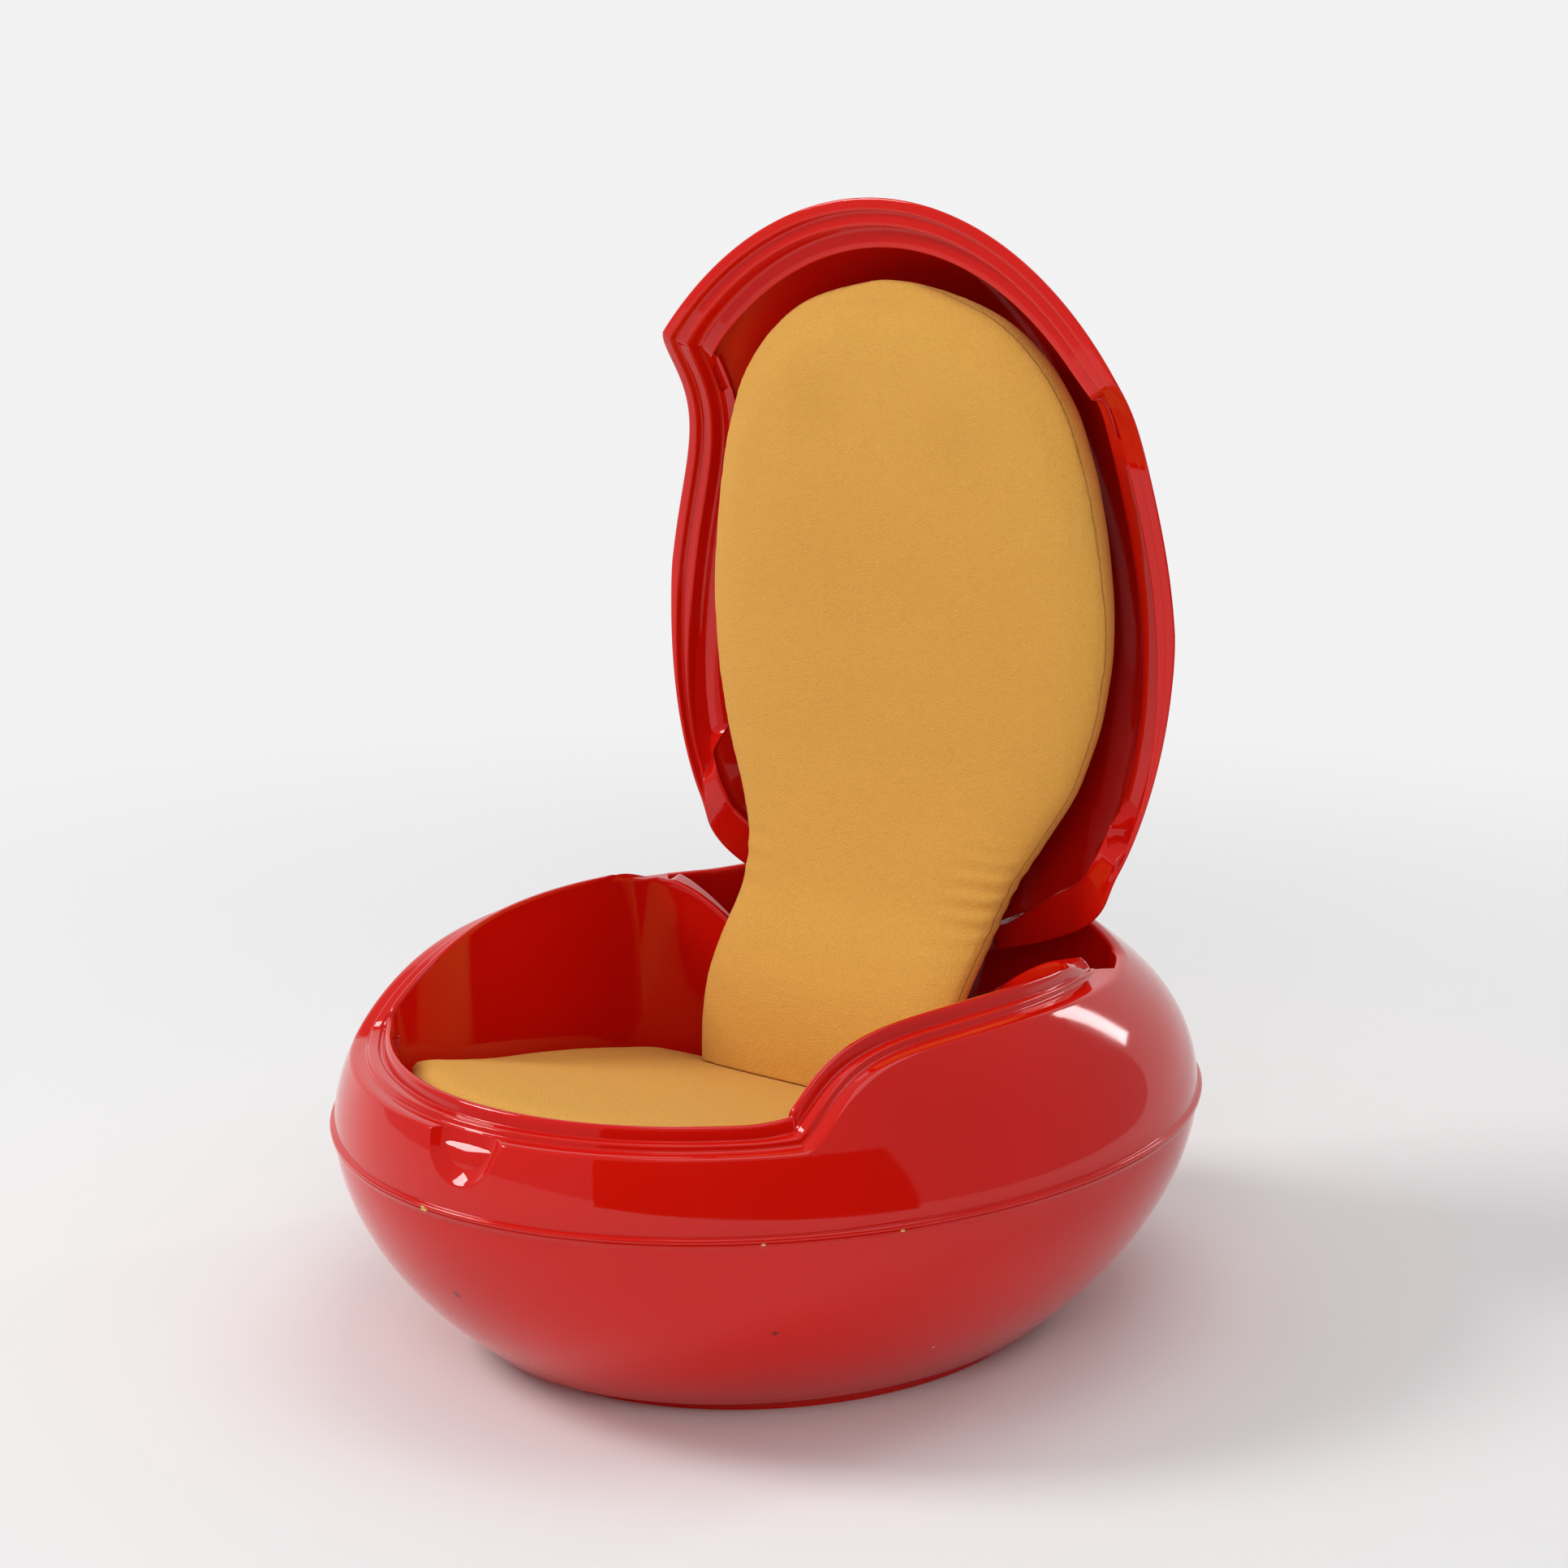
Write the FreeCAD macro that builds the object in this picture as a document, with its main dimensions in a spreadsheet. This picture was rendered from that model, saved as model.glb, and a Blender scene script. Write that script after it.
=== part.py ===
import FreeCAD, Part
import Sketcher
import math
import os

# Egg chair with a hinged lid, shown open. Millimetres, +Z up, the sitter faces -Y.
# The origin is on the floor, in the middle of the chair's width and depth.
# The lid's pieces are drawn in their closed place and then turned open about the hinge axis.

DOC = FreeCAD.newDocument("EggChair")
SHEET = DOC.addObject("Spreadsheet::Sheet", "Sizes")
SIZES = {
    # the egg's skin at the girth, and how far it reaches above and below
    "shell_half_width": 371.0, "shell_half_length": 427.0, "seam_height": 205.0,
    "crown_rise": 244.0, "bowl_reach": 288.0, "wall": 8.0, "flange_reach": 4.0, "flange_thick": 3.0,
    # the foot ring and the bowl's floor
    "foot_ring_height": 12.0,
    "foot_ring_breadth": 26.0, "foot_set_back": 5.0, "bowl_floor_thick": 10.0, "bowl_edge": 5.0,
    # the stepped rim, outside to inside
    "edge_round": 3.5, "outer_land": 14.0, "step_lean": 1.5, "first_step": 6.0,
    "middle_land": 13.0, "lip_height": 16.0, "lip_thick": 7.0, "lip_round": 2.0,
    # the lid over that rim, and its plain tail that dips into the well
    "lid_gap": 1.3, "step_gap": 2.0, "lip_room": 4.0, "flank_width": 25.0, "lid_wall": 9.0,
    "tail_inset": 12.5, "tail_fair": 95.0,
    "tail_flange": 26.0,
    # the seat tub
    "tub_draft": 16.0,
    # the dip in the tub's rear wall, and the well behind it for the lid's tail
    "well_wall": 6.0, "well_rim_inset": 9.0,
    # the finger recess in the front rim
    "recess_width": 66.0, "recess_depth": 17.0,
    # the hinge
    "open_angle": 92.0,
    "axle_radius": 5.0, "running_gap": 0.08, "bush_wall": 1.5, "eye_wall": 3.0,
    "arm_thick": 14.0, "arm_breadth": 15.0, "foot_plate": 4.0,
    "foot_drop": 24.0, "foot_half_span": 17.0, "side_gap": 0.5, "cheek": 6.0,
    "nut_height": 6.0, "nut_radius": 10.0, "pin_head": 4.0, "pin_head_radius": 8.0, "swing_gap": 1.2,
    "buffer_radius": 6.0, "seat_gap": 0.3,
    # screws
    "screw_radius": 2.5, "screw_head_radius": 4.5, "screw_head_height": 3.0, "screw_bite": 5.5,
    "screw_sink": 0.6, "foot_screw_length": 16.0, "lug_screw_length": 22.0,
    # the cushions and the board behind the back cushion
    "cloth_gap": 2.0, "seat_side_gap": 3.0, "seat_thick": 82.0, "seat_crown": 12.0, "seat_edge": 18.0,
    "back_bow": 13.0, "back_crown": 12.0,
    "back_edge": 16.0, "board_thick": 8.0,
    "boss_radius": 7.0,
    "lumbar_thick": 50.0,
}

# Places that follow the egg: shares of one size, counted from zero or from another size.
PLACE_SHARES = [
    ("shell_half_width", None, {
        "foot_half_width": 0.652291, "well_side": 0.663073, "dip_inner": 0.161725,
        "dip_outer": 0.552561, "arm_place": 0.247978, "back_half_width": 0.625337,
        "lumbar_half_width": 0.390836, "board_half_width": 0.269542
    }),
    ("shell_half_length", None, {
        "foot_half_length": 0.627635, "arm_curve_start": -0.702576, "arm_curve_run": 0.351288,
        "arm_fall_start": -0.140515, "arm_fall_run": 0.58548, "rear_rise_start": 0.444965,
        "rear_rise_run": 0.269321, "step_fade_start": 0.29274, "step_fade_run": 0.140515,
        "tail_start": 0.435597, "tail_run": 0.070258, "tub_back": 0.351288,
        "tub_floor_at": -0.796253, "tub_corner": 0.145199, "tub_turn": 0.093677,
        "well_front": 0.381733, "well_shoulder": 0.444965, "hinge_back": 0.5363,
        "lumbar_front": 0.154567, "lumbar_head": 0.437939, "board_half_length": 0.29274
    }),
    ("shell_half_length", "hinge_back", {
        "lug_front": -0.067916, "lug_back": -0.01171, "nose_back": -0.023419
    }),
    ("crown_rise", None, {
        "arm_rise": 0.254098, "arm_fall": 0.02459, "rear_rise": 0.098361, "dip_depth": 0.352459
    }),
    ("crown_rise", "seam_height", {
        "front_rim_height": 0.282787, "tub_floor_front": -0.118852, "well_floor": 0.069672,
        "recess_bottom": 0.065574, "rear_wall_top": 0.536885, "hinge_height": 0.622951,
        "bracket_low": 0.086066, "lumbar_foot": 0.008197
    }),
    ("crown_rise", "hinge_height", {
        "buffer_height": -0.180328
    }),
    ("crown_rise", "hinge_back", {
        "back_face": -0.135246, "back_rear": 0.204918
    }),
    ("shell_half_length", "hinge_height", {
        "back_top": 1.348946, "back_split": 0.288056, "board_middle": 0.63466
    }),
]
for followed, start, shares in PLACE_SHARES:
    for alias, share in shares.items():
        SIZES[alias] = share * SIZES[followed] + (SIZES[start] if start else 0.0)

for row, (alias, size) in enumerate(SIZES.items(), start=1):
    SHEET.set("A%d" % row, alias)
    SHEET.set("B%d" % row, repr(size))
    SHEET.setAlias("B%d" % row, alias)
DOC.recompute()


class Read:
    """Attribute access to the sheet's named sizes."""

    def __getattr__(self, alias):
        return float(getattr(SHEET, alias))


S = Read()

# Fullness of the egg's curves: 2 is an ellipse, less is leaner, more is squarer.
SIDE_SHARE = 1.75
FRONT_SHARE = 2.3
REAR_SHARE = 1.65
BOWL_SHARE = 1.79
REAR_PLAN_SHARE = 2.15
EGG_TAPER_SHARE = 0.027
FLOOR_SLOPE_SHARE = 0.16
COLUMNS = 56
TURNS = [-math.pi / 2 + 2 * math.pi * i / COLUMNS for i in range(COLUMNS)]


def vec(x, y, z):
    return FreeCAD.Vector(x, y, z)


def ease(t):
    """Goes smoothly from 0 to 1 while t goes from 0 to 1."""
    t = min(1.0, max(0.0, t))
    return t * t * (3.0 - 2.0 * t)


def fullness(u, power):
    """Superellipse: what is left of the half width at the share u of the height."""
    return (1.0 - min(u, 1.0) ** power) ** (1.0 / power)


def power_trig(value, power):
    return math.copysign(abs(value) ** (2.0 / power), value)


def egg_point(angle, height, inset=0.0):
    """Point of the egg's skin, or of a skin that lies inset inside it."""
    fore_sine, side_cosine = math.sin(angle), math.cos(angle)
    plan = 2.0
    if height >= S.seam_height:
        u = (height - S.seam_height) / (S.crown_rise - inset)
        along = FRONT_SHARE if fore_sine < 0 else REAR_SHARE
        wide, deep = fullness(u, SIDE_SHARE), fullness(u, along)
        if fore_sine > 0:
            plan = plan + (REAR_PLAN_SHARE - plan) * ease(2.5 * u)
    else:
        u = (S.seam_height - height) / (S.bowl_reach - inset)
        wide = deep = fullness(u, BOWL_SHARE)
    side, fore = power_trig(side_cosine, plan), power_trig(fore_sine, plan)
    x = (S.shell_half_width - inset) * wide * side * (1.0 + EGG_TAPER_SHARE * fore)
    y = (S.shell_half_length - inset) * deep * fore
    return vec(x, y, height)


def parting_height(y):
    """Height of the base's rim at y: low in front, an S up to the arms, a rise at the rear."""
    arms = S.arm_rise * ease((y - S.arm_curve_start) / S.arm_curve_run)
    fall = S.arm_fall * ease((y - S.arm_fall_start) / S.arm_fall_run)
    rear = S.rear_rise * ease((y - S.rear_rise_start) / S.rear_rise_run)
    return S.front_rim_height + arms - fall + rear


def rim_ring():
    """Points where the skin meets the parting line, one for each column."""
    ring = []
    for angle in TURNS:
        height = S.front_rim_height
        for _ in range(60):
            height = 0.5 * (height + parting_height(egg_point(angle, height).y))
        ring.append(egg_point(angle, height))
    return ring


def inward(ring):
    """Level unit directions that point into a ring that runs anticlockwise."""
    out = []
    for i, point in enumerate(ring):
        step = ring[(i + 1) % len(ring)] - ring[i - 1]
        out.append(vec(-step.y, step.x, 0).normalize())
    return out


RIM = rim_ring()
RIM_IN = inward(RIM)


def keep_steps(y):
    """The rim's steps run out where the lid's tail begins."""
    return 1.0 - ease((y - S.step_fade_start) / S.step_fade_run)


def rim_offset(reach, lift, fade=True, base=None, toward=None):
    """Ring that lies reach inside the rim and lift above it."""
    base = base or RIM
    toward = toward or RIM_IN
    ring = []
    for point, way in zip(base, toward):
        keep = keep_steps(point.y) if fade else 1.0
        ring.append(point + way * reach + vec(0, 0, lift * keep))
    return ring


def blend_down(ring, low, share, inset=0.0):
    """Skin ring at a share of the height between the height low and a ring above it."""
    return [egg_point(a, low + (p.z - low) * share, inset) for a, p in zip(TURNS, ring)]


def level_ring(height, inset=0.0, reach=0.0):
    ring = [egg_point(a, height, inset) for a in TURNS]
    return [p - way * reach for p, way in zip(ring, inward(ring))]


def loop(ring):
    curve = Part.BSplineCurve()
    curve.interpolate(Points=ring, PeriodicFlag=True)
    return Part.Wire([curve.toShape()])


def strips(bands):
    """Solid whose wall runs through bands of rings, each band lofted and its ends shared."""
    faces = []
    previous = None
    first = None
    for rings, ruled in bands:
        wires = [loop(r) for r in rings]
        if previous is not None:
            wires.insert(0, previous)
        if first is None:
            first = wires[0]
        faces.extend(Part.makeLoft(wires, False, ruled).Faces)
        previous = wires[-1]
    faces.append(Part.Face(first))
    faces.append(Part.Face(previous))
    shell = Part.makeShell(faces)
    if not shell.isClosed():
        shell.sewShape()
    solid = Part.makeSolid(shell)
    if solid.Volume < 0:
        solid.reverse()
    return solid


def feature(label, shape, placement=None):
    """Document object that holds a worked out shape, named after its file."""
    made = DOC.addObject("Part::Feature", label)
    made.Label = label
    made.Shape = shape
    if placement is not None:
        made.Placement = placement
    return made


# Lower shell


def bowl():
    low = S.foot_ring_height
    top = S.seam_height
    skirt = top - S.flange_thick
    skin = [level_ring(skirt - (skirt - low - S.bowl_edge) * k) for k in (0.25, 0.5, 0.75, 0.9, 1.0)]
    turn = level_ring(low + S.bowl_edge, S.bowl_edge * 0.4)
    turn = [vec(p.x, p.y, low + S.bowl_edge * 0.3) for p in turn]
    under = [vec(p.x, p.y, low) for p in level_ring(low + S.bowl_edge, S.bowl_edge * 1.4)]
    floor = low + S.bowl_floor_thick
    inside = [level_ring(floor + (skirt - floor) * k, S.wall) for k in (0.03, 0.12, 0.35, 0.6, 0.8, 1.0)]
    pan = [vec(p.x, p.y, floor) for p in level_ring(floor + S.bowl_edge, S.wall + 2 * S.bowl_edge)]
    flange = level_ring(top, 0.0, S.flange_reach)
    flange_low = [vec(p.x, p.y, skirt) for p in flange]
    bands = [([under, turn, skin[-1]], True), (skin[-2::-1] + [level_ring(skirt)], False),
             ([flange_low, flange, level_ring(top, S.wall)], True),
             ([inside[-1]], True), (inside[-2::-1], False), ([pan], True)]
    return strips(bands)


# Upper shell


def tub_ring(depth_share, out=0.0):
    """The tub's wall: along the rim's lip, and across behind the sitter's back."""
    lip = rim_offset(lip_reach(), 0.0, False)
    ins = inward(lip)
    shift = S.tub_draft * depth_share - out
    lip = [p + way * shift for p, way in zip(lip, ins)]
    turn_y = S.tub_back - S.tub_corner - S.tub_turn
    rear = S.tub_back - shift
    path = [i for i, p in enumerate(lip) if p.y > turn_y]
    start, end = lip[path[0]], lip[path[-1]]
    count = len(path)
    slope = (lip[path[0]] - lip[path[0] - 1])
    slope_x = slope.x / slope.y
    half = []
    steps = 60
    for k in range(steps + 1):
        t = (k / steps) * math.pi / 2
        y = start.y + (rear - start.y) * math.sin(t) ** 0.8
        side = start.x + slope_x * (y - start.y)
        share = ((y - start.y) / (rear - start.y))
        half.append(vec(side * fullness(share, 4.5), y, 0))
    lengths = [0.0]
    for a, b in zip(half, half[1:]):
        lengths.append(lengths[-1] + (b - a).Length)
    total = lengths[-1]
    ring = [vec(p.x, p.y, 0) for p in lip]
    for n, i in enumerate(path):
        want = 2.0 * total * n / (count - 1)
        mirror = want > total
        if mirror:
            want = 2.0 * total - want
        k = 1
        while k < steps and lengths[k] < want:
            k += 1
        part = (want - lengths[k - 1]) / max(lengths[k] - lengths[k - 1], 1e-9)
        point = half[k - 1] + (half[k] - half[k - 1]) * min(1.0, part)
        ring[i] = vec(-point.x if mirror else point.x, point.y, 0)
    return ring


def lip_reach():
    return S.outer_land + S.step_lean + S.middle_land + S.step_lean + S.lip_thick


def tub_top(point, rim):
    """Height of the tub's edge: the lip's, easing down to the rear wall's top."""
    lip = rim.z + S.lip_height * keep_steps(rim.y)
    across = ease((rim.y - S.step_fade_start) / S.step_fade_run)
    return lip + (S.rear_wall_top - lip) * across


def tub_floor(y, drop=0.0):
    return S.tub_floor_front - FLOOR_SLOPE_SHARE * (y - S.tub_floor_at) - drop


def shrink(ring, by):
    """The ring with its points moved straight inwards."""
    return [p + way * by for p, way in zip(ring, inward(ring))]


def toward_middle(ring, share):
    middle_y = 0.5 * (min(p.y for p in ring) + max(p.y for p in ring))
    return [vec(p.x * share, middle_y + (p.y - middle_y) * share, p.z) for p in ring]


def bucket():
    """Upper shell before its cuts: skin, stepped rim, tub and their hidden faces."""
    low = S.seam_height
    skirt = low + S.flange_thick
    edge = [vec(p.x, p.y, p.z - S.edge_round) for p in RIM]
    edge = [egg_point(a, p.z) for a, p in zip(TURNS, edge)]
    flange = level_ring(low, 0.0, S.flange_reach)
    flange_top = [vec(p.x, p.y, skirt) for p in flange]
    skin = [blend_down(edge, skirt, k) for k in (0.0, 0.25, 0.5, 0.75, 1.0)]
    first = S.outer_land
    second = first + S.step_lean + S.middle_land
    lip_out = second + S.step_lean
    rings = [
        rim_offset(S.edge_round * 0.3, -S.edge_round * 0.3, False),
        rim_offset(S.edge_round, 0.0),
        rim_offset(first, 0.0),
        rim_offset(first + S.step_lean, S.first_step),
        rim_offset(second, S.first_step),
        rim_offset(lip_out, S.lip_height - S.lip_round),
        rim_offset(lip_out + S.lip_round, S.lip_height),
        rim_offset(lip_out + S.lip_thick - S.lip_round, S.lip_height),
    ]
    tub = tub_ring(0.0)
    tops = [tub_top(p, r) for p, r in zip(tub, RIM)]
    tub_high = [vec(p.x, p.y, z - S.lip_round) for p, z in zip(tub, tops)]
    mid = tub_ring(0.5)
    tub_mid = [vec(p.x, p.y, 0.5 * (z + tub_floor(p.y))) for p, z in zip(mid, tops)]
    deep = tub_ring(1.0)
    tub_low = [vec(p.x, p.y, tub_floor(p.y) + S.bowl_edge) for p in deep]
    foot = shrink(deep, S.bowl_edge)
    foot = [vec(p.x, p.y, tub_floor(p.y)) for p in foot]
    under = [vec(p.x, p.y, tub_floor(p.y, S.wall)) for p in foot]
    low_out = tub_ring(1.0, S.wall)
    low_out = [vec(p.x, p.y, tub_floor(p.y, S.wall) + S.bowl_edge) for p in low_out]
    mid_out = tub_ring(0.5, S.wall)
    mid_out = [vec(p.x, p.y, 0.5 * (z + tub_floor(p.y))) for p, z in zip(mid_out, tops)]
    high_out = tub_ring(0.0, S.wall)
    high_out = [vec(p.x, p.y, z - (S.lip_height - S.first_step) * keep_steps(r.y) - S.wall)
                for p, z, r in zip(high_out, tops, RIM)]
    inner = [egg_point(a, p.z - S.wall, S.wall) for a, p in zip(TURNS, edge)]
    lining = [blend_down(inner, skirt, k, S.wall) for k in (0.75, 0.5, 0.25, 0.0)]
    bottom = level_ring(low, S.wall)
    bands = [
        ([foot, tub_low, tub_mid, tub_high], True),
        (rings[::-1], True),
        ([skin[-1]], True),
        (skin[-2::-1], False),
        ([flange_top, flange, bottom, lining[-1]], True),
        (lining[-2::-1] + [inner], False),
        ([high_out, mid_out, low_out, under], True),
    ]
    return strips(bands)


def reading_prism(line, low_x, high_x, ceiling):
    """Everything above a line of (y, z) points, as a block that runs along X."""
    points = [vec(low_x, y, z) for y, z in line]
    curve = Part.BSplineCurve()
    curve.interpolate(points)
    first, last = points[0], points[-1]
    up_first, up_last = vec(low_x, first.y, ceiling), vec(low_x, last.y, ceiling)
    edges = [curve.toShape(), Part.LineSegment(last, up_last).toShape(),
             Part.LineSegment(up_last, up_first).toShape(),
             Part.LineSegment(up_first, first).toShape()]
    return Part.Face(Part.Wire(edges)).extrude(vec(high_x - low_x, 0, 0))


def well_block(grow, front, low, high):
    """Upright block with the well's plan: straight in front, and along the rim behind."""
    ring = rim_offset(S.well_rim_inset - grow, 0.0, False)
    shoulder = S.well_shoulder - grow
    back = [vec(p.x, p.y, low) for p in ring if p.y > shoulder]
    turn = back[0] + (back[0] - back[1]) * ((back[0].y - shoulder) / max(back[1].y - back[0].y, 1e-6))
    back = [vec(turn.x, shoulder, low)] + back + [vec(-turn.x, shoulder, low)]
    curve = Part.BSplineCurve()
    curve.interpolate(back)
    left, right = vec(-S.well_side - grow, front, low), vec(S.well_side + grow, front, low)
    edges = [curve.toShape(), Part.LineSegment(back[-1], left).toShape(),
             Part.LineSegment(left, right).toShape(), Part.LineSegment(right, back[0]).toShape()]
    return Part.Face(Part.Wire(edges)).extrude(vec(0, 0, high - low))


def dip_height(x):
    run = (abs(x) - S.dip_inner) / (S.dip_outer - S.dip_inner)
    return S.rear_wall_top - S.dip_depth * (1.0 - ease(run))


def upper_shell():
    shell = bucket()
    sky = S.seam_height + S.crown_rise
    # solid ground between the tub and the well, up to just under the rim
    ground = well_block(S.well_wall, S.tub_back - S.tub_corner, S.well_floor - S.well_wall, sky)
    start = S.tub_back - 2 * S.tub_corner
    run = [start + (S.shell_half_length - start) * k / 16.0 for k in range(17)]
    cover = reading_prism([(y, parting_height(y) - 0.25 * S.wall) for y in run],
                          -S.shell_half_width, S.shell_half_width, sky + S.wall)
    ground = ground.cut(cover)
    wide, deep = tub_ring(0.0, 0.5 * S.wall), tub_ring(1.0, 0.5 * S.wall)
    cavity = [[vec(p.x, p.y, sky) for p in wide],
              [vec(p.x, p.y, tub_top(p, r)) for p, r in zip(wide, RIM)],
              [vec(p.x, p.y, tub_floor(p.y)) for p in deep]]
    ground = ground.cut(strips([(cavity, True)]))
    shell = shell.fuse(ground)
    well = well_block(0.0, S.well_front, S.well_floor, sky)
    shell = shell.cut(well)
    # the dip in the rear wall, where the back cushion passes down to the seat
    xs = [S.dip_outer * (k / 10.0 - 1.0) for k in range(21)]
    low_y, high_y = S.tub_back - S.tub_draft - S.wall, S.well_front + S.wall
    line = [vec(x, low_y, dip_height(x)) for x in xs]
    curve = Part.BSplineCurve()
    curve.interpolate(line)
    a, b = line[0], line[-1]
    up_a, up_b = vec(a.x, low_y, sky), vec(b.x, low_y, sky)
    edges = [curve.toShape(), Part.LineSegment(b, up_b).toShape(),
             Part.LineSegment(up_b, up_a).toShape(), Part.LineSegment(up_a, a).toShape()]
    shell = shell.cut(Part.Face(Part.Wire(edges)).extrude(vec(0, high_y - low_y, 0)))
    # the finger recess, with its own wall behind it
    front = min(p.y for p in RIM)
    pocket = recess_block(S.well_wall, front + 0.5 * S.wall,
                          front + S.recess_depth + S.well_wall,
                          S.front_rim_height - 0.5 * S.wall)
    shell = shell.fuse(pocket)
    shell = shell.cut(recess_block(0.0, front - S.recess_depth, front + S.recess_depth, sky))
    return shell


def recess_block(grow, near, far, top):
    """U-shaped plan seen from the front, driven from near to far."""
    half = 0.5 * S.recess_width + grow
    low = S.recess_bottom - grow
    centre = low + half
    left, right = vec(-half, near, centre), vec(half, near, centre)
    arc = Part.Arc(left, vec(0, near, low), right).toShape()
    up_left, up_right = vec(-half, near, top), vec(half, near, top)
    edges = [arc, Part.LineSegment(right, up_right).toShape(),
             Part.LineSegment(up_right, up_left).toShape(),
             Part.LineSegment(up_left, left).toShape()]
    return Part.Face(Part.Wire(edges)).extrude(vec(0, far - near, 0))


# Lid, drawn closed


def tail_share(y):
    return ease((y - S.tail_start) / S.tail_run)


LID_EDGE = [p + way * (S.tail_inset * tail_share(p.y)) + vec(0, 0, S.lid_gap)
            for p, way in zip(RIM, RIM_IN)]
LID_IN = inward(LID_EDGE)


def lid_offset(reach, lift):
    """Ring under the lid; at the tail the steps give way to one plain flange."""
    full = S.outer_land + S.middle_land + S.flank_width
    ring = []
    for p, q, way in zip(LID_EDGE, RIM, LID_IN):
        tail = 1.0 - keep_steps(q.y)
        narrow = 1.0 - tail * (1.0 - S.tail_flange / full)
        ring.append(p + way * (reach * narrow) + vec(0, 0, lift * (1.0 - tail)))
    return ring


def tail_near(lift):
    """How much of the tail's inset is left at a height above its edge."""
    return (1.0 - min(1.0, max(0.0, lift / S.tail_fair))) ** 2


def lid_skin(share, inset, lift=0.0):
    """Skin ring between the lid's edge and its crown, drawn in a little above the tail."""
    crown = S.seam_height + S.crown_rise - inset
    ring = []
    for a, p, q, way in zip(TURNS, LID_EDGE, RIM, LID_IN):
        low = p.z + lift
        z = low + (crown - low) * share
        draw = S.tail_inset * tail_share(q.y) * tail_near(z - p.z)
        ring.append(egg_point(a, z, inset) + way * draw)
    return ring


def lid_cap(share, inset):
    """Level ring near the crown."""
    height = S.seam_height + (S.crown_rise - inset) * share
    return [egg_point(a, height, inset) for a in TURNS]


def lid_shell():
    first = S.outer_land - S.step_gap
    second = S.outer_land + S.step_lean + S.middle_land - S.step_gap
    roof = S.lip_height + S.lip_room
    rise = S.edge_round
    outside = [lid_skin(k, 0.0, rise) for k in (0.0, 0.15, 0.32, 0.5, 0.68, 0.82)]
    outside += [lid_cap(0.965, 0.0), lid_cap(0.99, 0.0)]
    under = [
        lid_offset(0.3 * rise, 0.3 * rise), lid_offset(rise, 0.0), lid_offset(first, 0.0),
        lid_offset(first + S.step_lean, S.first_step), lid_offset(second, S.first_step),
        lid_offset(second + S.step_lean, roof), lid_offset(second + S.flank_width, roof),
    ]
    shelf = lid_offset(second + S.flank_width - S.step_lean, roof)
    shelf = [vec(p.x, p.y, p.z + S.lid_wall) for p in shelf]
    meet, inside = lid_hollow(S.lid_wall)
    return strips([(outside[::-1], False), (under + [shelf, meet], True), (inside, False)])


def lid_hollow(inset):
    """Rings of the lid's inner skin, from its flange to its crown."""
    roof = S.lip_height + S.lip_room
    crown = S.seam_height + S.crown_rise - inset
    rings = []
    for share in (0.0, 0.15, 0.32, 0.5, 0.68, 0.82):
        ring = []
        for a, p, q, way in zip(TURNS, LID_EDGE, RIM, LID_IN):
            low = p.z + roof * keep_steps(q.y) + S.lid_wall
            z = low + (crown - low) * share
            draw = S.tail_inset * tail_share(q.y) * tail_near(z - p.z)
            ring.append(egg_point(a, z, inset) + way * draw)
        rings.append(ring)
    rings += [lid_cap(0.965, inset), lid_cap(0.99, inset)]
    return rings[0], rings[1:]


def dome_height(x, y, inset):
    """Height at which the egg's upper skin, drawn in by inset, stands over (x, y)."""
    low, high = S.seam_height, S.seam_height + S.crown_rise - inset
    for _ in range(40):
        z = 0.5 * (low + high)
        u = (z - S.seam_height) / (S.crown_rise - inset)
        deep = (S.shell_half_length - inset) * fullness(u, FRONT_SHARE if y < 0 else REAR_SHARE)
        wide = (S.shell_half_width - inset) * fullness(u, SIDE_SHARE)
        plan = 2.0 + (REAR_PLAN_SHARE - 2.0) * ease(2.5 * u) if y > 0 else 2.0
        fore = max(-1.0, min(1.0, y / deep)) if deep else 0.0
        reach = (abs(x) / (wide * (1.0 + EGG_TAPER_SHARE * fore))) ** plan if wide else 1.0
        if reach + abs(fore) ** plan < 1.0:
            low = z
        else:
            high = z
    return low


def closed_height(depth):
    """Height in the closed lid of what stands at this depth behind the chair when open."""
    return S.hinge_height + depth - S.hinge_back


# Cushions


def tub_at(above, gap):
    """Ring along the tub's wall at a height above its floor, clear of it by gap."""
    high, deep = tub_ring(0.0), tub_ring(1.0)
    tops = [tub_top(p, r) for p, r in zip(high, RIM)]
    ring = []
    for a, b, z in zip(high, deep, tops):
        share = 1.0 - above / (z - tub_floor(a.y))
        ring.append(vec(a.x + (b.x - a.x) * share, a.y + (b.y - a.y) * share, 0))
    return shrink(ring, gap)


def on_floor(ring, above):
    return [vec(p.x, p.y, tub_floor(p.y) + above) for p in ring]


def seat_cushion():
    edge = S.seat_edge
    thick = S.seat_thick
    low, high = edge, thick - edge
    gap = S.seat_side_gap
    sides = [on_floor(tub_at(low, gap), low), on_floor(tub_at(high, gap), high)]
    foot = [on_floor(tub_at(low, gap + k * edge), above)
            for k, above in ((1.0, S.seat_gap), (0.3, 0.3 * edge))]
    top = [on_floor(tub_at(high, gap + k * edge), thick - drop * edge)
           for k, drop in ((0.2, 0.4), (0.7, 0.05))]
    rim = top[-1]
    crown = [on_floor(toward_middle(rim, k), thick + S.seat_crown * (1.0 - k * k))
             for k in (0.75, 0.5, 0.25, 0.08)]
    return strips([(foot, True), (sides, True), (top, True), (crown, False)])


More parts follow.
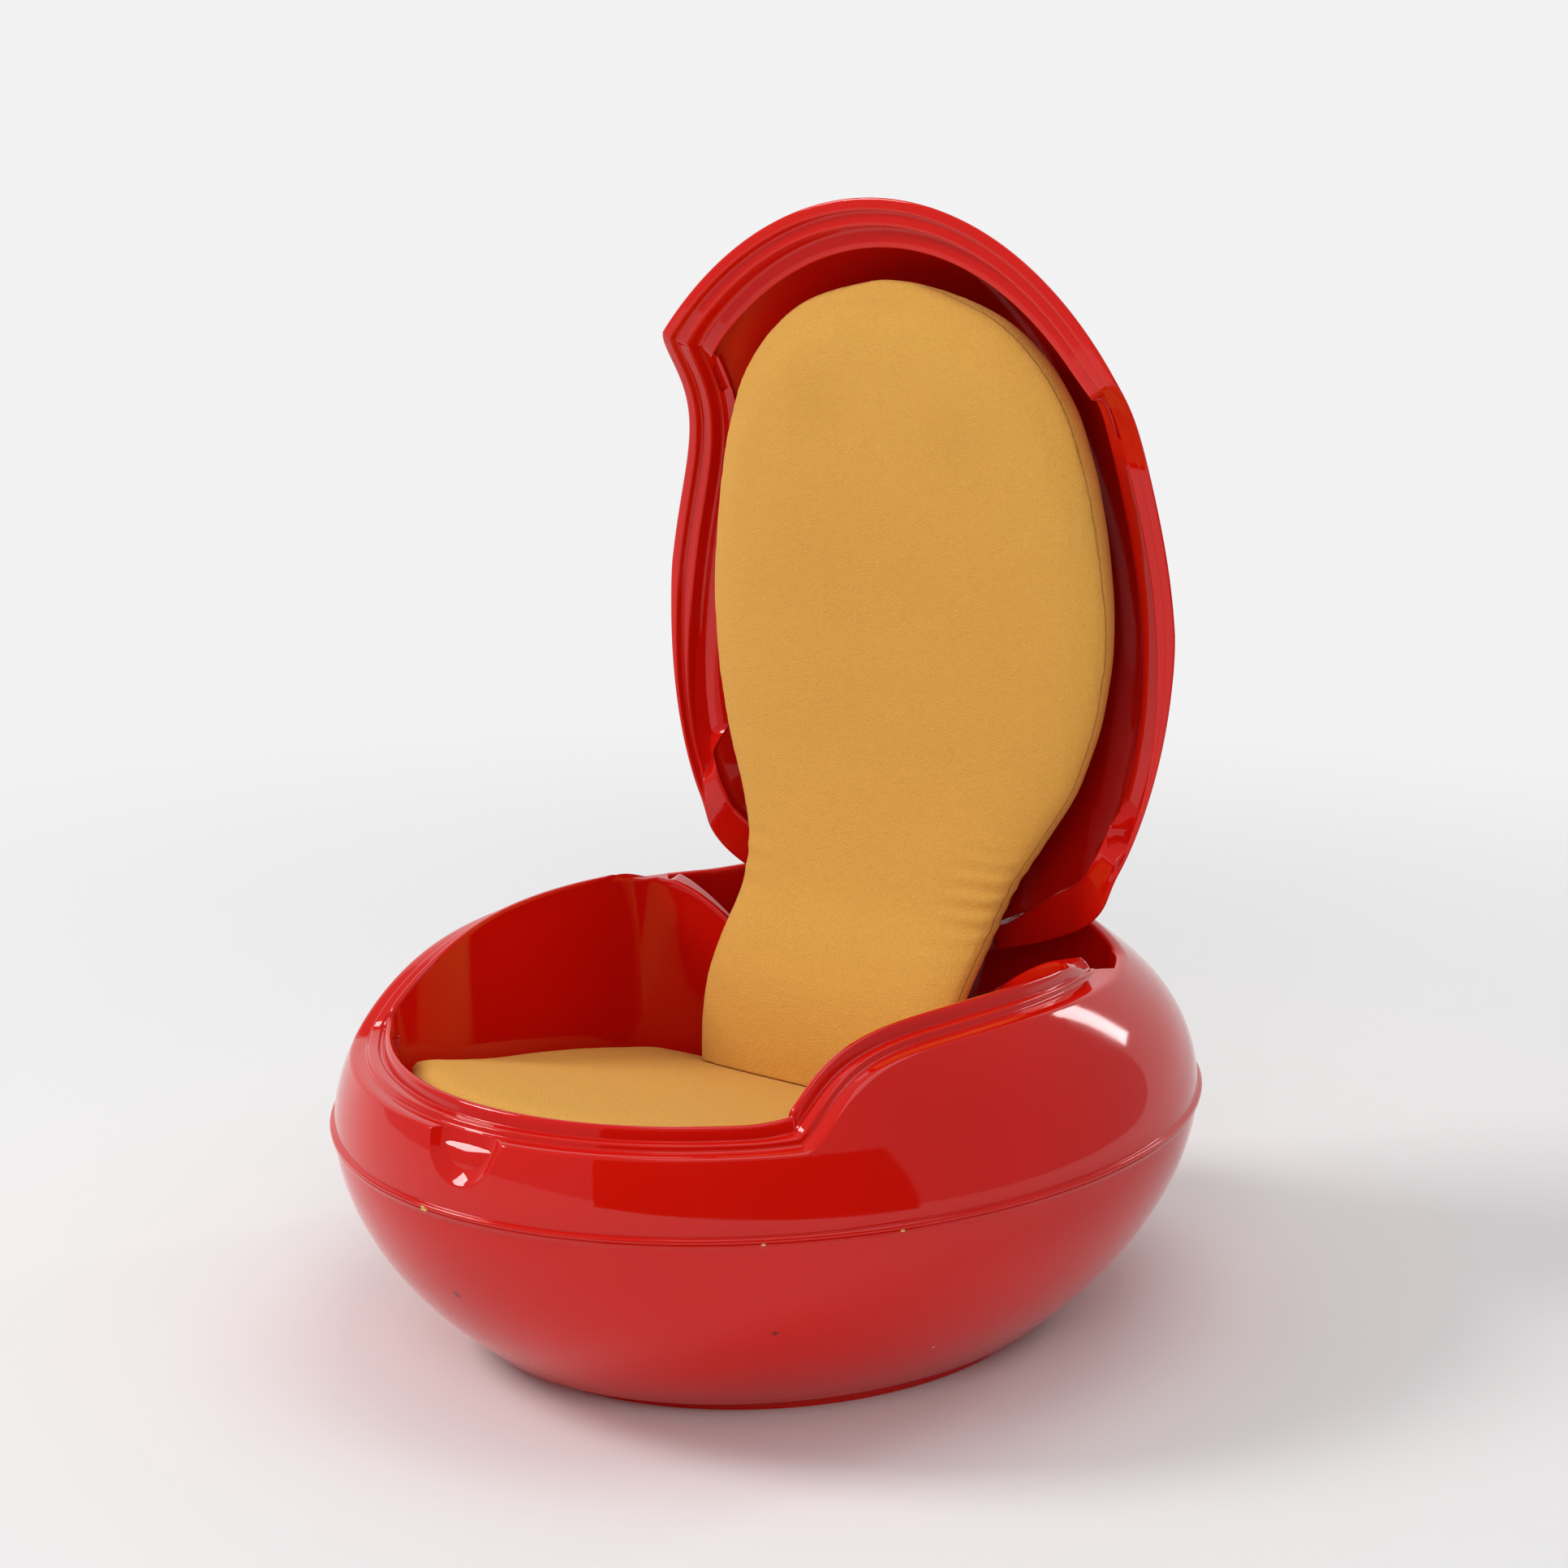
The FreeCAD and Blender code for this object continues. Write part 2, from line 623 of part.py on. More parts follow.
def section(centre, depth, half, front, rear, front_share, rear_share):
    """Closed ring across a cushion: half is its half width, depth points to its back."""
    ring = []
    for k in range(CUSHION_COLUMNS):
        turn = 2.0 * math.pi * k / CUSHION_COLUMNS
        up = math.sin(turn)
        share = rear_share if up > 0 else front_share
        side = half * power_trig(math.cos(turn), share)
        reach = (rear if up > 0 else front) * power_trig(up, share)
        ring.append(centre + vec(side, 0, 0) + depth * reach)
    return ring


def back_cushion():
    """Lens of foam that fills the lid: crowned in front, domed behind like the shell."""
    length = S.back_top - S.back_split - S.seat_gap
    rings = []
    for share, width_share in BACK_WIDTH_SHARES:
        y = S.hinge_back - (S.back_top - length * share - S.hinge_height)
        half = S.back_half_width * width_share
        bow = ((share - 0.6) / 0.6) ** 2
        face = closed_height(S.back_face - S.back_bow * bow)
        middle = face + S.back_edge
        sag = S.cloth_gap * ((share - BOARD_SHARE) / (1.0 - BOARD_SHARE)) ** 2
        room = closed_height(S.back_rear) - middle - sag
        for fx in (0.0, 0.5, 0.8, 0.95):
            roof = dome_height(fx * half, y, S.lid_wall + S.cloth_gap)
            room = min(room, (roof - middle) / math.sqrt(1.0 - fx * fx))
        front = S.back_edge + S.back_crown * ease(2.5 * share)
        rings.append(section(vec(0, y, middle), vec(0, 0, 1), half, front,
                             max(room, 0.2 * S.back_edge), 3.0, 2.0))
    return strips([(rings, False)])


def lumbar_cushion():
    """The cushion's lower part: it leaves the lid and drops behind the seat."""
    run = S.lumbar_head - S.lumbar_front
    rise = S.back_split - S.lumbar_foot
    path = [vec(0, S.lumbar_front + run * a, S.lumbar_foot + rise * b) for a, b in LUMBAR_SHARES]
    foot_thick = S.tub_back - 0.6 * S.tub_draft - 3 * S.cloth_gap - S.lumbar_front
    rings = []
    for k, point in enumerate(path):
        way = path[min(k + 1, len(path) - 1)] - path[max(k - 1, 0)]
        depth = vec(0, way.z, -way.y).normalize()
        if k in (0, len(path) - 1):
            depth = vec(0, 1, 0)
        along = ease(k / 3.0)
        thick = foot_thick + (S.lumbar_thick - foot_thick) * along
        half = S.lumbar_half_width * LUMBAR_WIDTH_SHARES[k]
        rings.append(section(point + depth * (0.5 * thick), depth, half,
                             0.5 * thick, 0.5 * thick, 3.4, 2.2))
    return strips([(rings, False)])


# How far down the back cushion its board bears.
BOARD_SHARE = 0.67
# Where the back cushion's edge lies, from its top to the fold, and how wide it is there.
BACK_WIDTH_SHARES = [(0.0, 0.16), (0.025, 0.36), (0.08, 0.56), (0.16, 0.72), (0.26, 0.85),
                     (0.5, 0.95), (0.67, 1.0), (0.85, 0.97), (1.0, 0.9)]
# The cushion's lower front face, from behind the seat up to the fold.
LUMBAR_SHARES = [(0.0, 0.0), (0.05, 0.14), (0.11, 0.26), (0.29, 0.38), (0.62, 0.55),
                 (0.82, 0.74), (0.94, 0.88), (1.0, 1.0)]
LUMBAR_WIDTH_SHARES = [1.0, 1.0, 1.0, 1.0, 1.0, 1.08, 1.22, 1.36]
CUSHION_COLUMNS = 28


# Pieces made of plain forms

PIECES = {}
OPEN = FreeCAD.Placement(vec(0, 0, 0), FreeCAD.Rotation(vec(1, 0, 0), -S.open_angle),
                         vec(0, S.hinge_back, S.hinge_height))
ACROSS = FreeCAD.Rotation(vec(0, 1, 0), 90)
ALONG = FreeCAD.Rotation(vec(1, 0, 0), -90)
UPRIGHT = FreeCAD.Rotation()


def cells(text):
    """An expression over the sheet's names, written with a leading dot for each name."""
    return text.replace(".", "Sizes.").replace("~", ".")


def bind(made, sizes, place=None, turn=None):
    for name, text in sizes.items():
        made.setExpression(name, cells(text))
    if turn is not None:
        made.Placement = FreeCAD.Placement(vec(0, 0, 0), turn)
    for axis, text in (place or {}).items():
        made.setExpression("Placement.Base." + axis, cells(text))
    return made


BUSH = "(.axle_radius + .running_gap + .bush_wall)"
EYE = "(.axle_radius + .running_gap + .bush_wall + .eye_wall)"
EYE_SLANT = EYE + " * sqrt(1 / 2)"
LUG_LOW = "(.hinge_height + .swing_gap + %s)" % EYE


def rod(name, radius, length, place, turn=UPRIGHT):
    """Cylinder that starts at its place and runs the way turn sets."""
    return bind(DOC.addObject("Part::Cylinder", name), {"Radius": radius, "Height": length},
                place, turn)


def slab(name, length, width, height, place):
    sizes = {"Length": length, "Width": width, "Height": height}
    return bind(DOC.addObject("Part::Box", name), sizes, place)


def cut(name, base, tool):
    made = DOC.addObject("Part::Cut", name)
    made.Base, made.Tool = base, tool
    return made


def fuse(name, shapes):
    made = DOC.addObject("Part::MultiFuse", name)
    made.Shapes = shapes
    return made


def keep(node, made, lid=False):
    """Names a finished piece after its file; the lid's pieces are turned open."""
    made.Label = node
    PIECES[node] = (made, lid)
    return made


def profile(body, name, corners):
    """Closed outline of straight lines on the body's YZ plane; each corner is two expressions."""
    sketch = body.newObject("Sketcher::SketchObject", name)
    planes = {f.Role: f for f in body.Origin.OriginFeatures}
    sketch.AttachmentSupport = [(planes["YZ_Plane"], "")]
    sketch.MapMode = "FlatFace"
    count = len(corners)
    ring = [vec(math.cos(2 * math.pi * k / count), math.sin(2 * math.pi * k / count), 0)
            for k in range(count)]
    for k in range(count):
        sketch.addGeometry(Part.LineSegment(ring[k], ring[(k + 1) % count]), False)
    for k in range(count):
        sketch.addConstraint(Sketcher.Constraint("Coincident", k, 2, (k + 1) % count, 1))
    for k, (along, up) in enumerate(corners):
        for kind, value, text in (("DistanceX", ring[k].x, along), ("DistanceY", ring[k].y, up)):
            made = sketch.addConstraint(Sketcher.Constraint(kind, -1, 1, k, 1, value))
            sketch.setExpression("Constraints[%d]" % made, cells(text))
    return sketch


def round_profile(body, name, radius, along, up):
    sketch = body.newObject("Sketcher::SketchObject", name)
    planes = {f.Role: f for f in body.Origin.OriginFeatures}
    sketch.AttachmentSupport = [(planes["YZ_Plane"], "")]
    sketch.MapMode = "FlatFace"
    sketch.addGeometry(Part.Circle(vec(0, 0, 0), vec(0, 0, 1), 1.0), False)
    made = sketch.addConstraint(Sketcher.Constraint("Radius", 0, 1.0))
    sketch.setExpression("Constraints[%d]" % made, cells(radius))
    for kind, text in (("DistanceX", along), ("DistanceY", up)):
        made = sketch.addConstraint(Sketcher.Constraint(kind, -1, 1, 0, 3, 1.0))
        sketch.setExpression("Constraints[%d]" % made, cells(text))
    return sketch


def pad(body, name, sketch, length):
    made = body.newObject("PartDesign::Pad", name)
    made.Profile = sketch
    made.SideType = "Symmetric"
    made.setExpression("Length", cells(length))
    return made


def pocket(body, name, sketch, length):
    made = body.newObject("PartDesign::Pocket", name)
    made.Profile = sketch
    made.SideType = "Symmetric"
    made.setExpression("Length", cells(length))
    return made


def stop_reach():
    """How far back a stop may reach before it meets the open lid's tail flange."""
    reach = S.arm_place + 3.0 * S.buffer_radius
    low = min(p.z for p in LID_EDGE if p.y > S.hinge_back and abs(p.x) < reach)
    turn = math.radians(S.open_angle)
    below = S.hinge_height - S.buffer_height + S.buffer_radius
    back = S.hinge_back + math.cos(turn) * below + math.sin(turn) * (low - S.hinge_height)
    return back - S.seat_gap


def ellipse_plate(name, along, across, height, place):
    """Plate with an elliptic plan, longer along Y."""
    ring = DOC.addObject("Part::Ellipse", name + "_ring")
    bind(ring, {"MajorRadius": along, "MinorRadius": across}, place,
         FreeCAD.Rotation(vec(0, 0, 1), 90))
    made = DOC.addObject("Part::Extrusion", name)
    made.Base, made.DirMode, made.Dir, made.Solid = ring, "Custom", vec(0, 0, 1), True
    return bind(made, {"LengthFwd": height})


# Foot ring and its screws

ring_outer = ellipse_plate("ring_outer", ".foot_half_length", ".foot_half_width",
                           ".foot_ring_height", {"y": "-.foot_set_back"})
ring_inner = ellipse_plate("ring_inner", ".foot_half_length - .foot_ring_breadth",
                           ".foot_half_width - .foot_ring_breadth", ".foot_ring_height",
                           {"y": "-.foot_set_back"})
ring_blank = cut("ring_blank", ring_outer, ring_inner)
foot_holes = []
shell_foot_holes = []
FOOT_SCREWS = {"front_left": (-1, -1), "front_right": (1, -1), "rear_left": (-1, 1),
               "rear_right": (1, 1)}
for where, (side, fore) in FOOT_SCREWS.items():
    place = {"x": "%d * (.foot_half_width - .foot_ring_breadth / 2) * sqrt(1 / 2)" % side,
             "y": "%d * (.foot_half_length - .foot_ring_breadth / 2) * sqrt(1 / 2)"
                  " - .foot_set_back" % fore}
    sink = dict(place, z=".screw_sink")
    shank = rod("foot_shank_" + where, ".screw_radius", ".foot_screw_length", sink)
    head_of = rod("foot_head_" + where, ".screw_head_radius", ".screw_head_height", sink)
    keep("foot_screw_" + where, fuse("foot_screw_" + where, [shank, head_of]))
    hole = rod("foot_hole_" + where, ".screw_radius + .running_gap", ".foot_screw_length + 2 * .screw_sink",
               dict(place, z="0"))
    sunk = rod("foot_sunk_" + where, ".screw_head_radius + .running_gap",
               ".screw_head_height + .screw_sink", dict(place, z="0"))
    foot_holes += [hole, sunk]
    shell_foot_holes.append(hole)
foot_ring = keep("foot_ring", cut("foot_ring", ring_blank, fuse("foot_holes", foot_holes)))

# Hinge, two alike

bracket_holes = []
lid_lug_holes = []

for side, name in ((-1, "left"), (1, "right")):
    # base bracket: a foot on the well's front wall, a raking arm, a stop nose and the eye
    bracket = DOC.addObject("PartDesign::Body", "base_bracket_" + name)
    rake_y, rake_z = "(.hinge_back - .well_front)", "(.hinge_height - .bracket_low)"
    rake = "sqrt(%s ^ 2 + %s ^ 2)" % (rake_y, rake_z)
    off_y = ".arm_breadth / 2 * %s / %s" % (rake_z, rake)
    off_z = ".arm_breadth / 2 * %s / %s" % (rake_y, rake)
    back_y = "(.well_front + .foot_plate)"
    slope = "((.hinge_back - %s) / (.hinge_height - %s - .bracket_low))" % (back_y, off_z)
    nose_low, nose_high = "(.buffer_height - .buffer_radius)", "(.buffer_height + .buffer_radius)"
    corners = [
        (".well_front", ".bracket_low"), (back_y, ".bracket_low"),
        ("%s + %s * (%s - .bracket_low)" % (back_y, slope, nose_low), nose_low),
        (".nose_back", nose_low), (".nose_back", nose_high),
        ("%s + %s * (%s - .bracket_low)" % (back_y, slope, nose_high), nose_high),
        (".hinge_back", ".hinge_height - %s" % off_z),
        (".hinge_back - %s" % off_y, ".hinge_height + %s" % off_z),
        (".well_front", ".bracket_low + .foot_drop"),
    ]
    arm = pad(bracket, "arm_" + name, profile(bracket, "arm_lines_" + name, corners), ".arm_thick")
    plate = [(".well_front", ".bracket_low"), (back_y, ".bracket_low"),
             (back_y, ".bracket_low + .foot_drop"), (".well_front", ".bracket_low + .foot_drop")]
    pad(bracket, "plate_" + name, profile(bracket, "plate_lines_" + name, plate),
        "2 * .foot_half_span")
    pad(bracket, "eye_" + name, round_profile(bracket, "eye_circle_" + name, EYE,
                                              ".hinge_back", ".hinge_height"), ".arm_thick")
    DOC.recompute()
    pocket(bracket, "bore_" + name, round_profile(bracket, "bore_circle_" + name,
           BUSH + " + .running_gap", ".hinge_back", ".hinge_height"), "2 * .arm_thick")
    DOC.recompute()
    bracket.setExpression("Placement.Base.x", cells("%d * .arm_place" % side))
    plate_holes = []
    for step, up in (("inner", -1), ("outer", 1)):
        place = {"x": "%d * .arm_place + %d * (.foot_half_span - .screw_head_radius)" % (side, up * side),
                 "z": ".bracket_low + .foot_drop / 2"}
        tip = dict(place, y=".well_front - .screw_bite")
        under = dict(place, y=".well_front + .foot_plate")
        shank = rod("bracket_shank_%s_%s" % (name, step), ".screw_radius",
                    ".foot_plate + .screw_bite + .screw_head_height", tip, ALONG)
        top = rod("bracket_head_%s_%s" % (name, step), ".screw_head_radius", ".screw_head_height",
                  under, ALONG)
        keep("bracket_screw_%s_%s" % (name, step), fuse("bracket_screw_%s_%s" % (name, step),
                                                         [shank, top]))
        plate_holes.append(rod("bracket_hole_%s_%s" % (name, step), ".screw_radius + .running_gap",
                               ".foot_plate + .screw_bite + 2 * .running_gap",
                               dict(place, y=".well_front - .screw_bite - .running_gap"), ALONG))
    bracket_holes += plate_holes
    keep("base_bracket_" + name, cut("base_bracket_cut_" + name, bracket,
                                     fuse("bracket_holes_" + name, plate_holes)))
    # bush and pin
    left_end = {"x": "%d * .arm_place - .arm_thick / 2" % side, "y": ".hinge_back", "z": ".hinge_height"}
    keep("hinge_bush_" + name, cut("hinge_bush_" + name,
         rod("bush_out_" + name, BUSH, ".arm_thick", left_end, ACROSS),
         rod("bush_in_" + name, ".axle_radius + .running_gap", ".arm_thick", left_end, ACROSS)))
    half = "(.arm_thick / 2 + .side_gap + .cheek)"
    start = "%d * .arm_place - %s" % (side, half)
    nut_low = "%s - .nut_height" % start if side > 0 else "%s + 2 * %s" % (start, half)
    head_low = "%s + 2 * %s" % (start, half) if side > 0 else "%s - .pin_head" % start
    pin_low = "%s - .nut_height" % start if side > 0 else start
    axis_at = {"y": ".hinge_back", "z": ".hinge_height"}
    shaft = rod("pin_shaft_" + name, ".axle_radius", "2 * %s + .nut_height" % half,
                dict(axis_at, x=pin_low), ACROSS)
    cap = rod("pin_cap_" + name, ".pin_head_radius", ".pin_head", dict(axis_at, x=head_low), ACROSS)
    keep("hinge_pin_" + name, fuse("hinge_pin_" + name, [shaft, cap]), lid=True)
    nut = bind(DOC.addObject("Part::Prism", "nut_blank_" + name),
               {"Circumradius": ".nut_radius", "Height": ".nut_height"}, dict(axis_at, x=nut_low), ACROSS)
    keep("hinge_nut_" + name, cut("hinge_nut_" + name, nut,
         rod("nut_hole_" + name, ".axle_radius + .running_gap", ".nut_height",
             dict(axis_at, x=nut_low), ACROSS)), lid=True)
    # lid lug: two cheeks that hold the pin, under a block that follows the dome
    lug_body = DOC.addObject("PartDesign::Body", "lid_lug_blank_" + name)
    block = [(".lug_front", LUG_LOW), (".lug_back", LUG_LOW), (".lug_back", ".seam_height + .crown_rise"),
             (".lug_front", ".seam_height + .crown_rise")]
    pad(lug_body, "block_" + name, profile(lug_body, "block_lines_" + name, block), "2 * %s" % half)
    cheek = [(".lug_front", LUG_LOW + " + .cheek"), (".lug_front", LUG_LOW),
             (".hinge_back - %s" % EYE_SLANT, ".hinge_height - %s" % EYE_SLANT),
             (".hinge_back + %s" % EYE_SLANT, ".hinge_height + %s" % EYE_SLANT),
             (".lug_back", LUG_LOW + " + .cheek")]
    pad(lug_body, "cheeks_" + name, profile(lug_body, "cheek_lines_" + name, cheek), "2 * %s" % half)
    pad(lug_body, "lug_eye_" + name, round_profile(lug_body, "lug_eye_circle_" + name, EYE,
                                                   ".hinge_back", ".hinge_height"), "2 * %s" % half)
    DOC.recompute()
    slot = [(".lug_front - .cheek", ".hinge_height - 3 * %s" % EYE),
            (".hinge_back + 2 * %s" % EYE, ".hinge_height - 3 * %s" % EYE),
            (".hinge_back + 2 * %s" % EYE, LUG_LOW), (".lug_front - .cheek", LUG_LOW)]
    pocket(lug_body, "slot_" + name, profile(lug_body, "slot_lines_" + name, slot),
           ".arm_thick + 2 * .side_gap")
    pocket(lug_body, "lug_bore_" + name, round_profile(lug_body, "lug_bore_circle_" + name,
           ".axle_radius + .running_gap", ".hinge_back", ".hinge_height"), "4 * %s" % half)
    DOC.recompute()
    lug_body.setExpression("Placement.Base.x", cells("%d * .arm_place" % side))
    lug_holes = []
    for step, share in (("front", 0.3), ("rear", 0.7)):
        place = {"x": "%d * .arm_place" % side,
                 "y": ".lug_front + (.lug_back - .lug_front) * %s" % str(share).replace(".", "~")}
        shank = rod("lug_shank_%s_%s" % (name, step), ".screw_radius", ".lug_screw_length",
                    dict(place, z=LUG_LOW + " - .screw_head_height"))
        top = rod("lug_head_%s_%s" % (name, step), ".screw_head_radius", ".screw_head_height",
                  dict(place, z=LUG_LOW + " - .screw_head_height"))
        keep("lug_screw_%s_%s" % (name, step), fuse("lug_screw_%s_%s" % (name, step), [shank, top]),
             lid=True)
        hole_low = LUG_LOW + " - .screw_head_height + .running_gap"
        lug_holes.append(rod("lug_hole_%s_%s" % (name, step), ".screw_radius + .running_gap",
                             ".lug_screw_length", dict(place, z=hole_low)))
    lid_lug_holes += lug_holes
    lug_cut = cut("lug_cut_" + name, lug_body, fuse("lug_holes_" + name, lug_holes))
    trimmed = DOC.addObject("Part::Common", "lid_lug_" + name)
    trimmed.Base = lug_cut
    PIECES["lid_lug_" + name] = (trimmed, True)
    # rubber stop between the bracket's nose and the tail's flange
    stop = {"x": "%d * .arm_place" % side, "y": ".nose_back", "z": ".buffer_height"}
    buffer = rod("stop_buffer_" + name, ".buffer_radius", ".nose_back", stop, ALONG)
    buffer.setExpression("Height", None)
    buffer.Height = stop_reach() - S.nose_back
    keep("stop_buffer_" + name, buffer)

# Board behind the back cushion

BOARD_Y = "(.hinge_back - .board_middle + .hinge_height)"
BOARD_Z = "(.hinge_height + .back_rear - .hinge_back + .cloth_gap / 2)"
board = ellipse_plate("board_plate", ".board_half_length", ".board_half_width", ".board_thick",
                      {"y": BOARD_Y, "z": BOARD_Z})
board_holes = []
bosses = []
boss_holes = []
BOARD_SCREWS = {"upper_left": (-1, -1), "upper_right": (1, -1), "lower_left": (-1, 1),
                "lower_right": (1, 1)}
for where, (side, fore) in BOARD_SCREWS.items():
    place = {"x": "%d * .board_half_width / 2" % side,
             "y": "%s + %d * .board_half_length / 2" % (BOARD_Y, fore), "z": BOARD_Z}
    sink = dict(place, z=BOARD_Z + " + .screw_sink")
    shank = rod("board_shank_" + where, ".screw_radius", ".board_thick + .screw_bite", sink)
    top = rod("board_head_" + where, ".screw_head_radius", ".screw_head_height", sink)
    keep("board_screw_" + where, fuse("board_screw_" + where, [shank, top]), lid=True)
    hole = rod("board_hole_" + where, ".screw_radius + .running_gap",
               ".board_thick + .screw_bite + 2 * .screw_sink", place)
    board_holes += [hole, rod("board_sunk_" + where, ".screw_head_radius + .running_gap",
                              ".screw_head_height + .screw_sink", place)]
    boss_holes.append(hole)
    boss = rod("board_boss_" + where, ".boss_radius", ".boss_radius",
               dict(place, z=BOARD_Z + " + .board_thick"))
    bosses.append(boss)
keep("back_board", cut("back_board", board, fuse("board_holes", board_holes)), lid=True)
DOC.recompute()
for boss in bosses:
    spot = boss.Placement.Base
    boss.setExpression("Height", None)
    boss.Height = dome_height(spot.x, spot.y, S.lid_wall) + 0.5 * S.lid_wall - spot.z
DOC.recompute()

# Shells and cushions

lower = bowl().cut([hole.Shape for hole in shell_foot_holes])
keep("lower_shell", feature("lower_shell", lower))
upper = upper_shell().cut([hole.Shape for hole in bracket_holes])
keep("upper_shell", feature("upper_shell", upper))
lid = lid_shell().fuse([boss.Shape for boss in bosses])
lid = lid.cut([hole.Shape for hole in boss_holes + lid_lug_holes])
keep("lid_shell", feature("lid_shell", lid), lid=True)
meet, inside = lid_hollow(S.lid_wall + S.seat_gap)
sill = [vec(p.x, p.y, S.seam_height) for p in meet]
hollow = feature("lid_hollow", strips([([sill, meet], True), (inside, False)]))
for name in ("left", "right"):
    PIECES["lid_lug_" + name][0].Tool = hollow
    PIECES["lid_lug_" + name][0].Label = "lid_lug_" + name
keep("seat_cushion", feature("seat_cushion", seat_cushion()))
keep("lumbar_cushion", feature("lumbar_cushion", lumbar_cushion()))
keep("back_cushion", feature("back_cushion", back_cushion()), lid=True)
DOC.recompute()
for made, in_lid in PIECES.values():
    if in_lid:
        made.Placement = OPEN
DOC.recompute()

# Checks and files

for made in DOC.Objects:
    if "Invalid" in made.State or "Error" in made.State:
        raise RuntimeError("failed: " + made.Name)
for node, (made, in_lid) in PIECES.items():
    shape = made.Shape
    if shape.isNull() or not shape.isValid() or len(shape.Solids) != 1:
        raise RuntimeError("bad shape: %s %s" % (node, len(shape.Solids)))
os.makedirs("parts", exist_ok=True)
for node, (made, in_lid) in PIECES.items():
    made.Shape.exportStep("parts/%s.step" % node)
print("pieces", len(PIECES), "buffer reach", round(stop_reach(), 2))
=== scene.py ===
import bpy
import math
import numpy as np
from mathutils import Matrix, Vector
from mathutils.bvhtree import BVHTree


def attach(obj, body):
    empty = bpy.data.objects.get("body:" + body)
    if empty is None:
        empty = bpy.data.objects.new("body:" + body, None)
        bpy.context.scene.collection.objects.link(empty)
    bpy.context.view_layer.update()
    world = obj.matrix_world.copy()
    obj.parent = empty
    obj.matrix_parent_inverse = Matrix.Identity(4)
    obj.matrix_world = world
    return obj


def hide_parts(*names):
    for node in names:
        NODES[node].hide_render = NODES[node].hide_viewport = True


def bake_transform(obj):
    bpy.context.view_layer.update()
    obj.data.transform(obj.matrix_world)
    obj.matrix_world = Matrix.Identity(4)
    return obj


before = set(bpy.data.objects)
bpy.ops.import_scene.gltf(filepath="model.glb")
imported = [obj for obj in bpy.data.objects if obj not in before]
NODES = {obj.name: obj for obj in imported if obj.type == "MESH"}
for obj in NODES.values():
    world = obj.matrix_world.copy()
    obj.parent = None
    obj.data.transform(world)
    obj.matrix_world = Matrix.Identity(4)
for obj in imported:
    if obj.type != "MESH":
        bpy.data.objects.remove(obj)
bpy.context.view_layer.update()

# Metres, +Z up, the sitter faces -Y, the lid stands open. SEAM is the girth's height, CROWN
# the egg's height over it, and BOWL the depth below it at which the bowl would close.
HALF_WIDTH, HALF_LENGTH, SEAM = 0.371, 0.427, 0.205
CROWN, BOWL, WALL = 0.244, 0.288, 0.008
# powers of the egg's curves: across, in front, behind, below the girth, and in plan behind;
# the taper is the share by which it is wider to the rear
SIDE, FRONT, REAR, BOTTOM, REAR_PLAN, TAPER = 1.75, 2.3, 1.65, 1.79, 2.15, 0.027
# the hinge's axis, and the turn of the open lid
HINGE_Y, HINGE_Z, OPEN = 0.229, 0.357, math.radians(92.0)
# the rim's height in front, and where and over how long a way it climbs
RIM_FRONT, CORNER_Y, CLIMB_RUN = 0.274, -0.2745, 0.058


# The egg and its parting line

def ease(t):
    """Smooth step: 3t^2 - 2t^3 with t held between 0 and 1."""
    t = np.clip(t, 0.0, 1.0)
    return t * t * (3.0 - 2.0 * t)


def lean(u, power):
    """Half width w left at the share u of the height, from w^p = 1 - u^p. Near the pole the
    root of w^2 and a small square stands in for w, so that the pole is round."""
    u = np.clip(u, 0.0, 1.0)
    soft = 0.22 * ease((u - 0.5) / 0.4)
    low = soft ** power
    full = (1.0 + soft * soft) ** (power / 2.0) - low
    square = ((1.0 - u ** power) * full + low) ** (2.0 / power) - soft * soft
    return np.sqrt(np.maximum(square, 0.0))


def signed_power(value, power):
    """Superellipse's share along an axis: the size of a sine or cosine to 2/p, with its sign."""
    return np.sign(value) * np.abs(value) ** (2.0 / power)


def egg(angle, height, inset=0.0):
    """Egg's skin, drawn in by inset: level superellipses whose half widths follow lean() above
    and below the girth, fuller in front than behind, and a little wider to the rear."""
    angle, height = np.broadcast_arrays(angle, height)
    fore, across = np.sin(angle), np.cos(angle)
    above = height >= SEAM
    up = (height - SEAM) / (CROWN - inset)
    down = (SEAM - height) / (BOWL - inset)
    wide = np.where(above, lean(up, SIDE), lean(down, BOTTOM))
    deep = np.where(above, np.where(fore < 0, lean(up, FRONT), lean(up, REAR)), wide)
    plan = np.where(above & (fore > 0), 2.0 + (REAR_PLAN - 2.0) * ease(2.5 * up), 2.0)
    side, along = signed_power(across, plan), signed_power(fore, plan)
    x = (HALF_WIDTH - inset) * wide * side * (1.0 + TAPER * along)
    return np.stack([x, (HALF_LENGTH - inset) * deep * along, height * np.ones_like(x)], -1)


def parting(y):
    """Rim height at y: low in front, a crisp corner, a climb that dies away exponentially
    towards the arms, a slight fall and a rise at the rear."""
    climb = 1.0 - np.exp(-(np.maximum(y - CORNER_Y, 0.0) / CLIMB_RUN) ** 1.35)
    return (RIM_FRONT + 0.0615 * climb - 0.007 * ease((y + 0.060) / 0.250)
            + 0.025 * ease((y - 0.213) / 0.090))


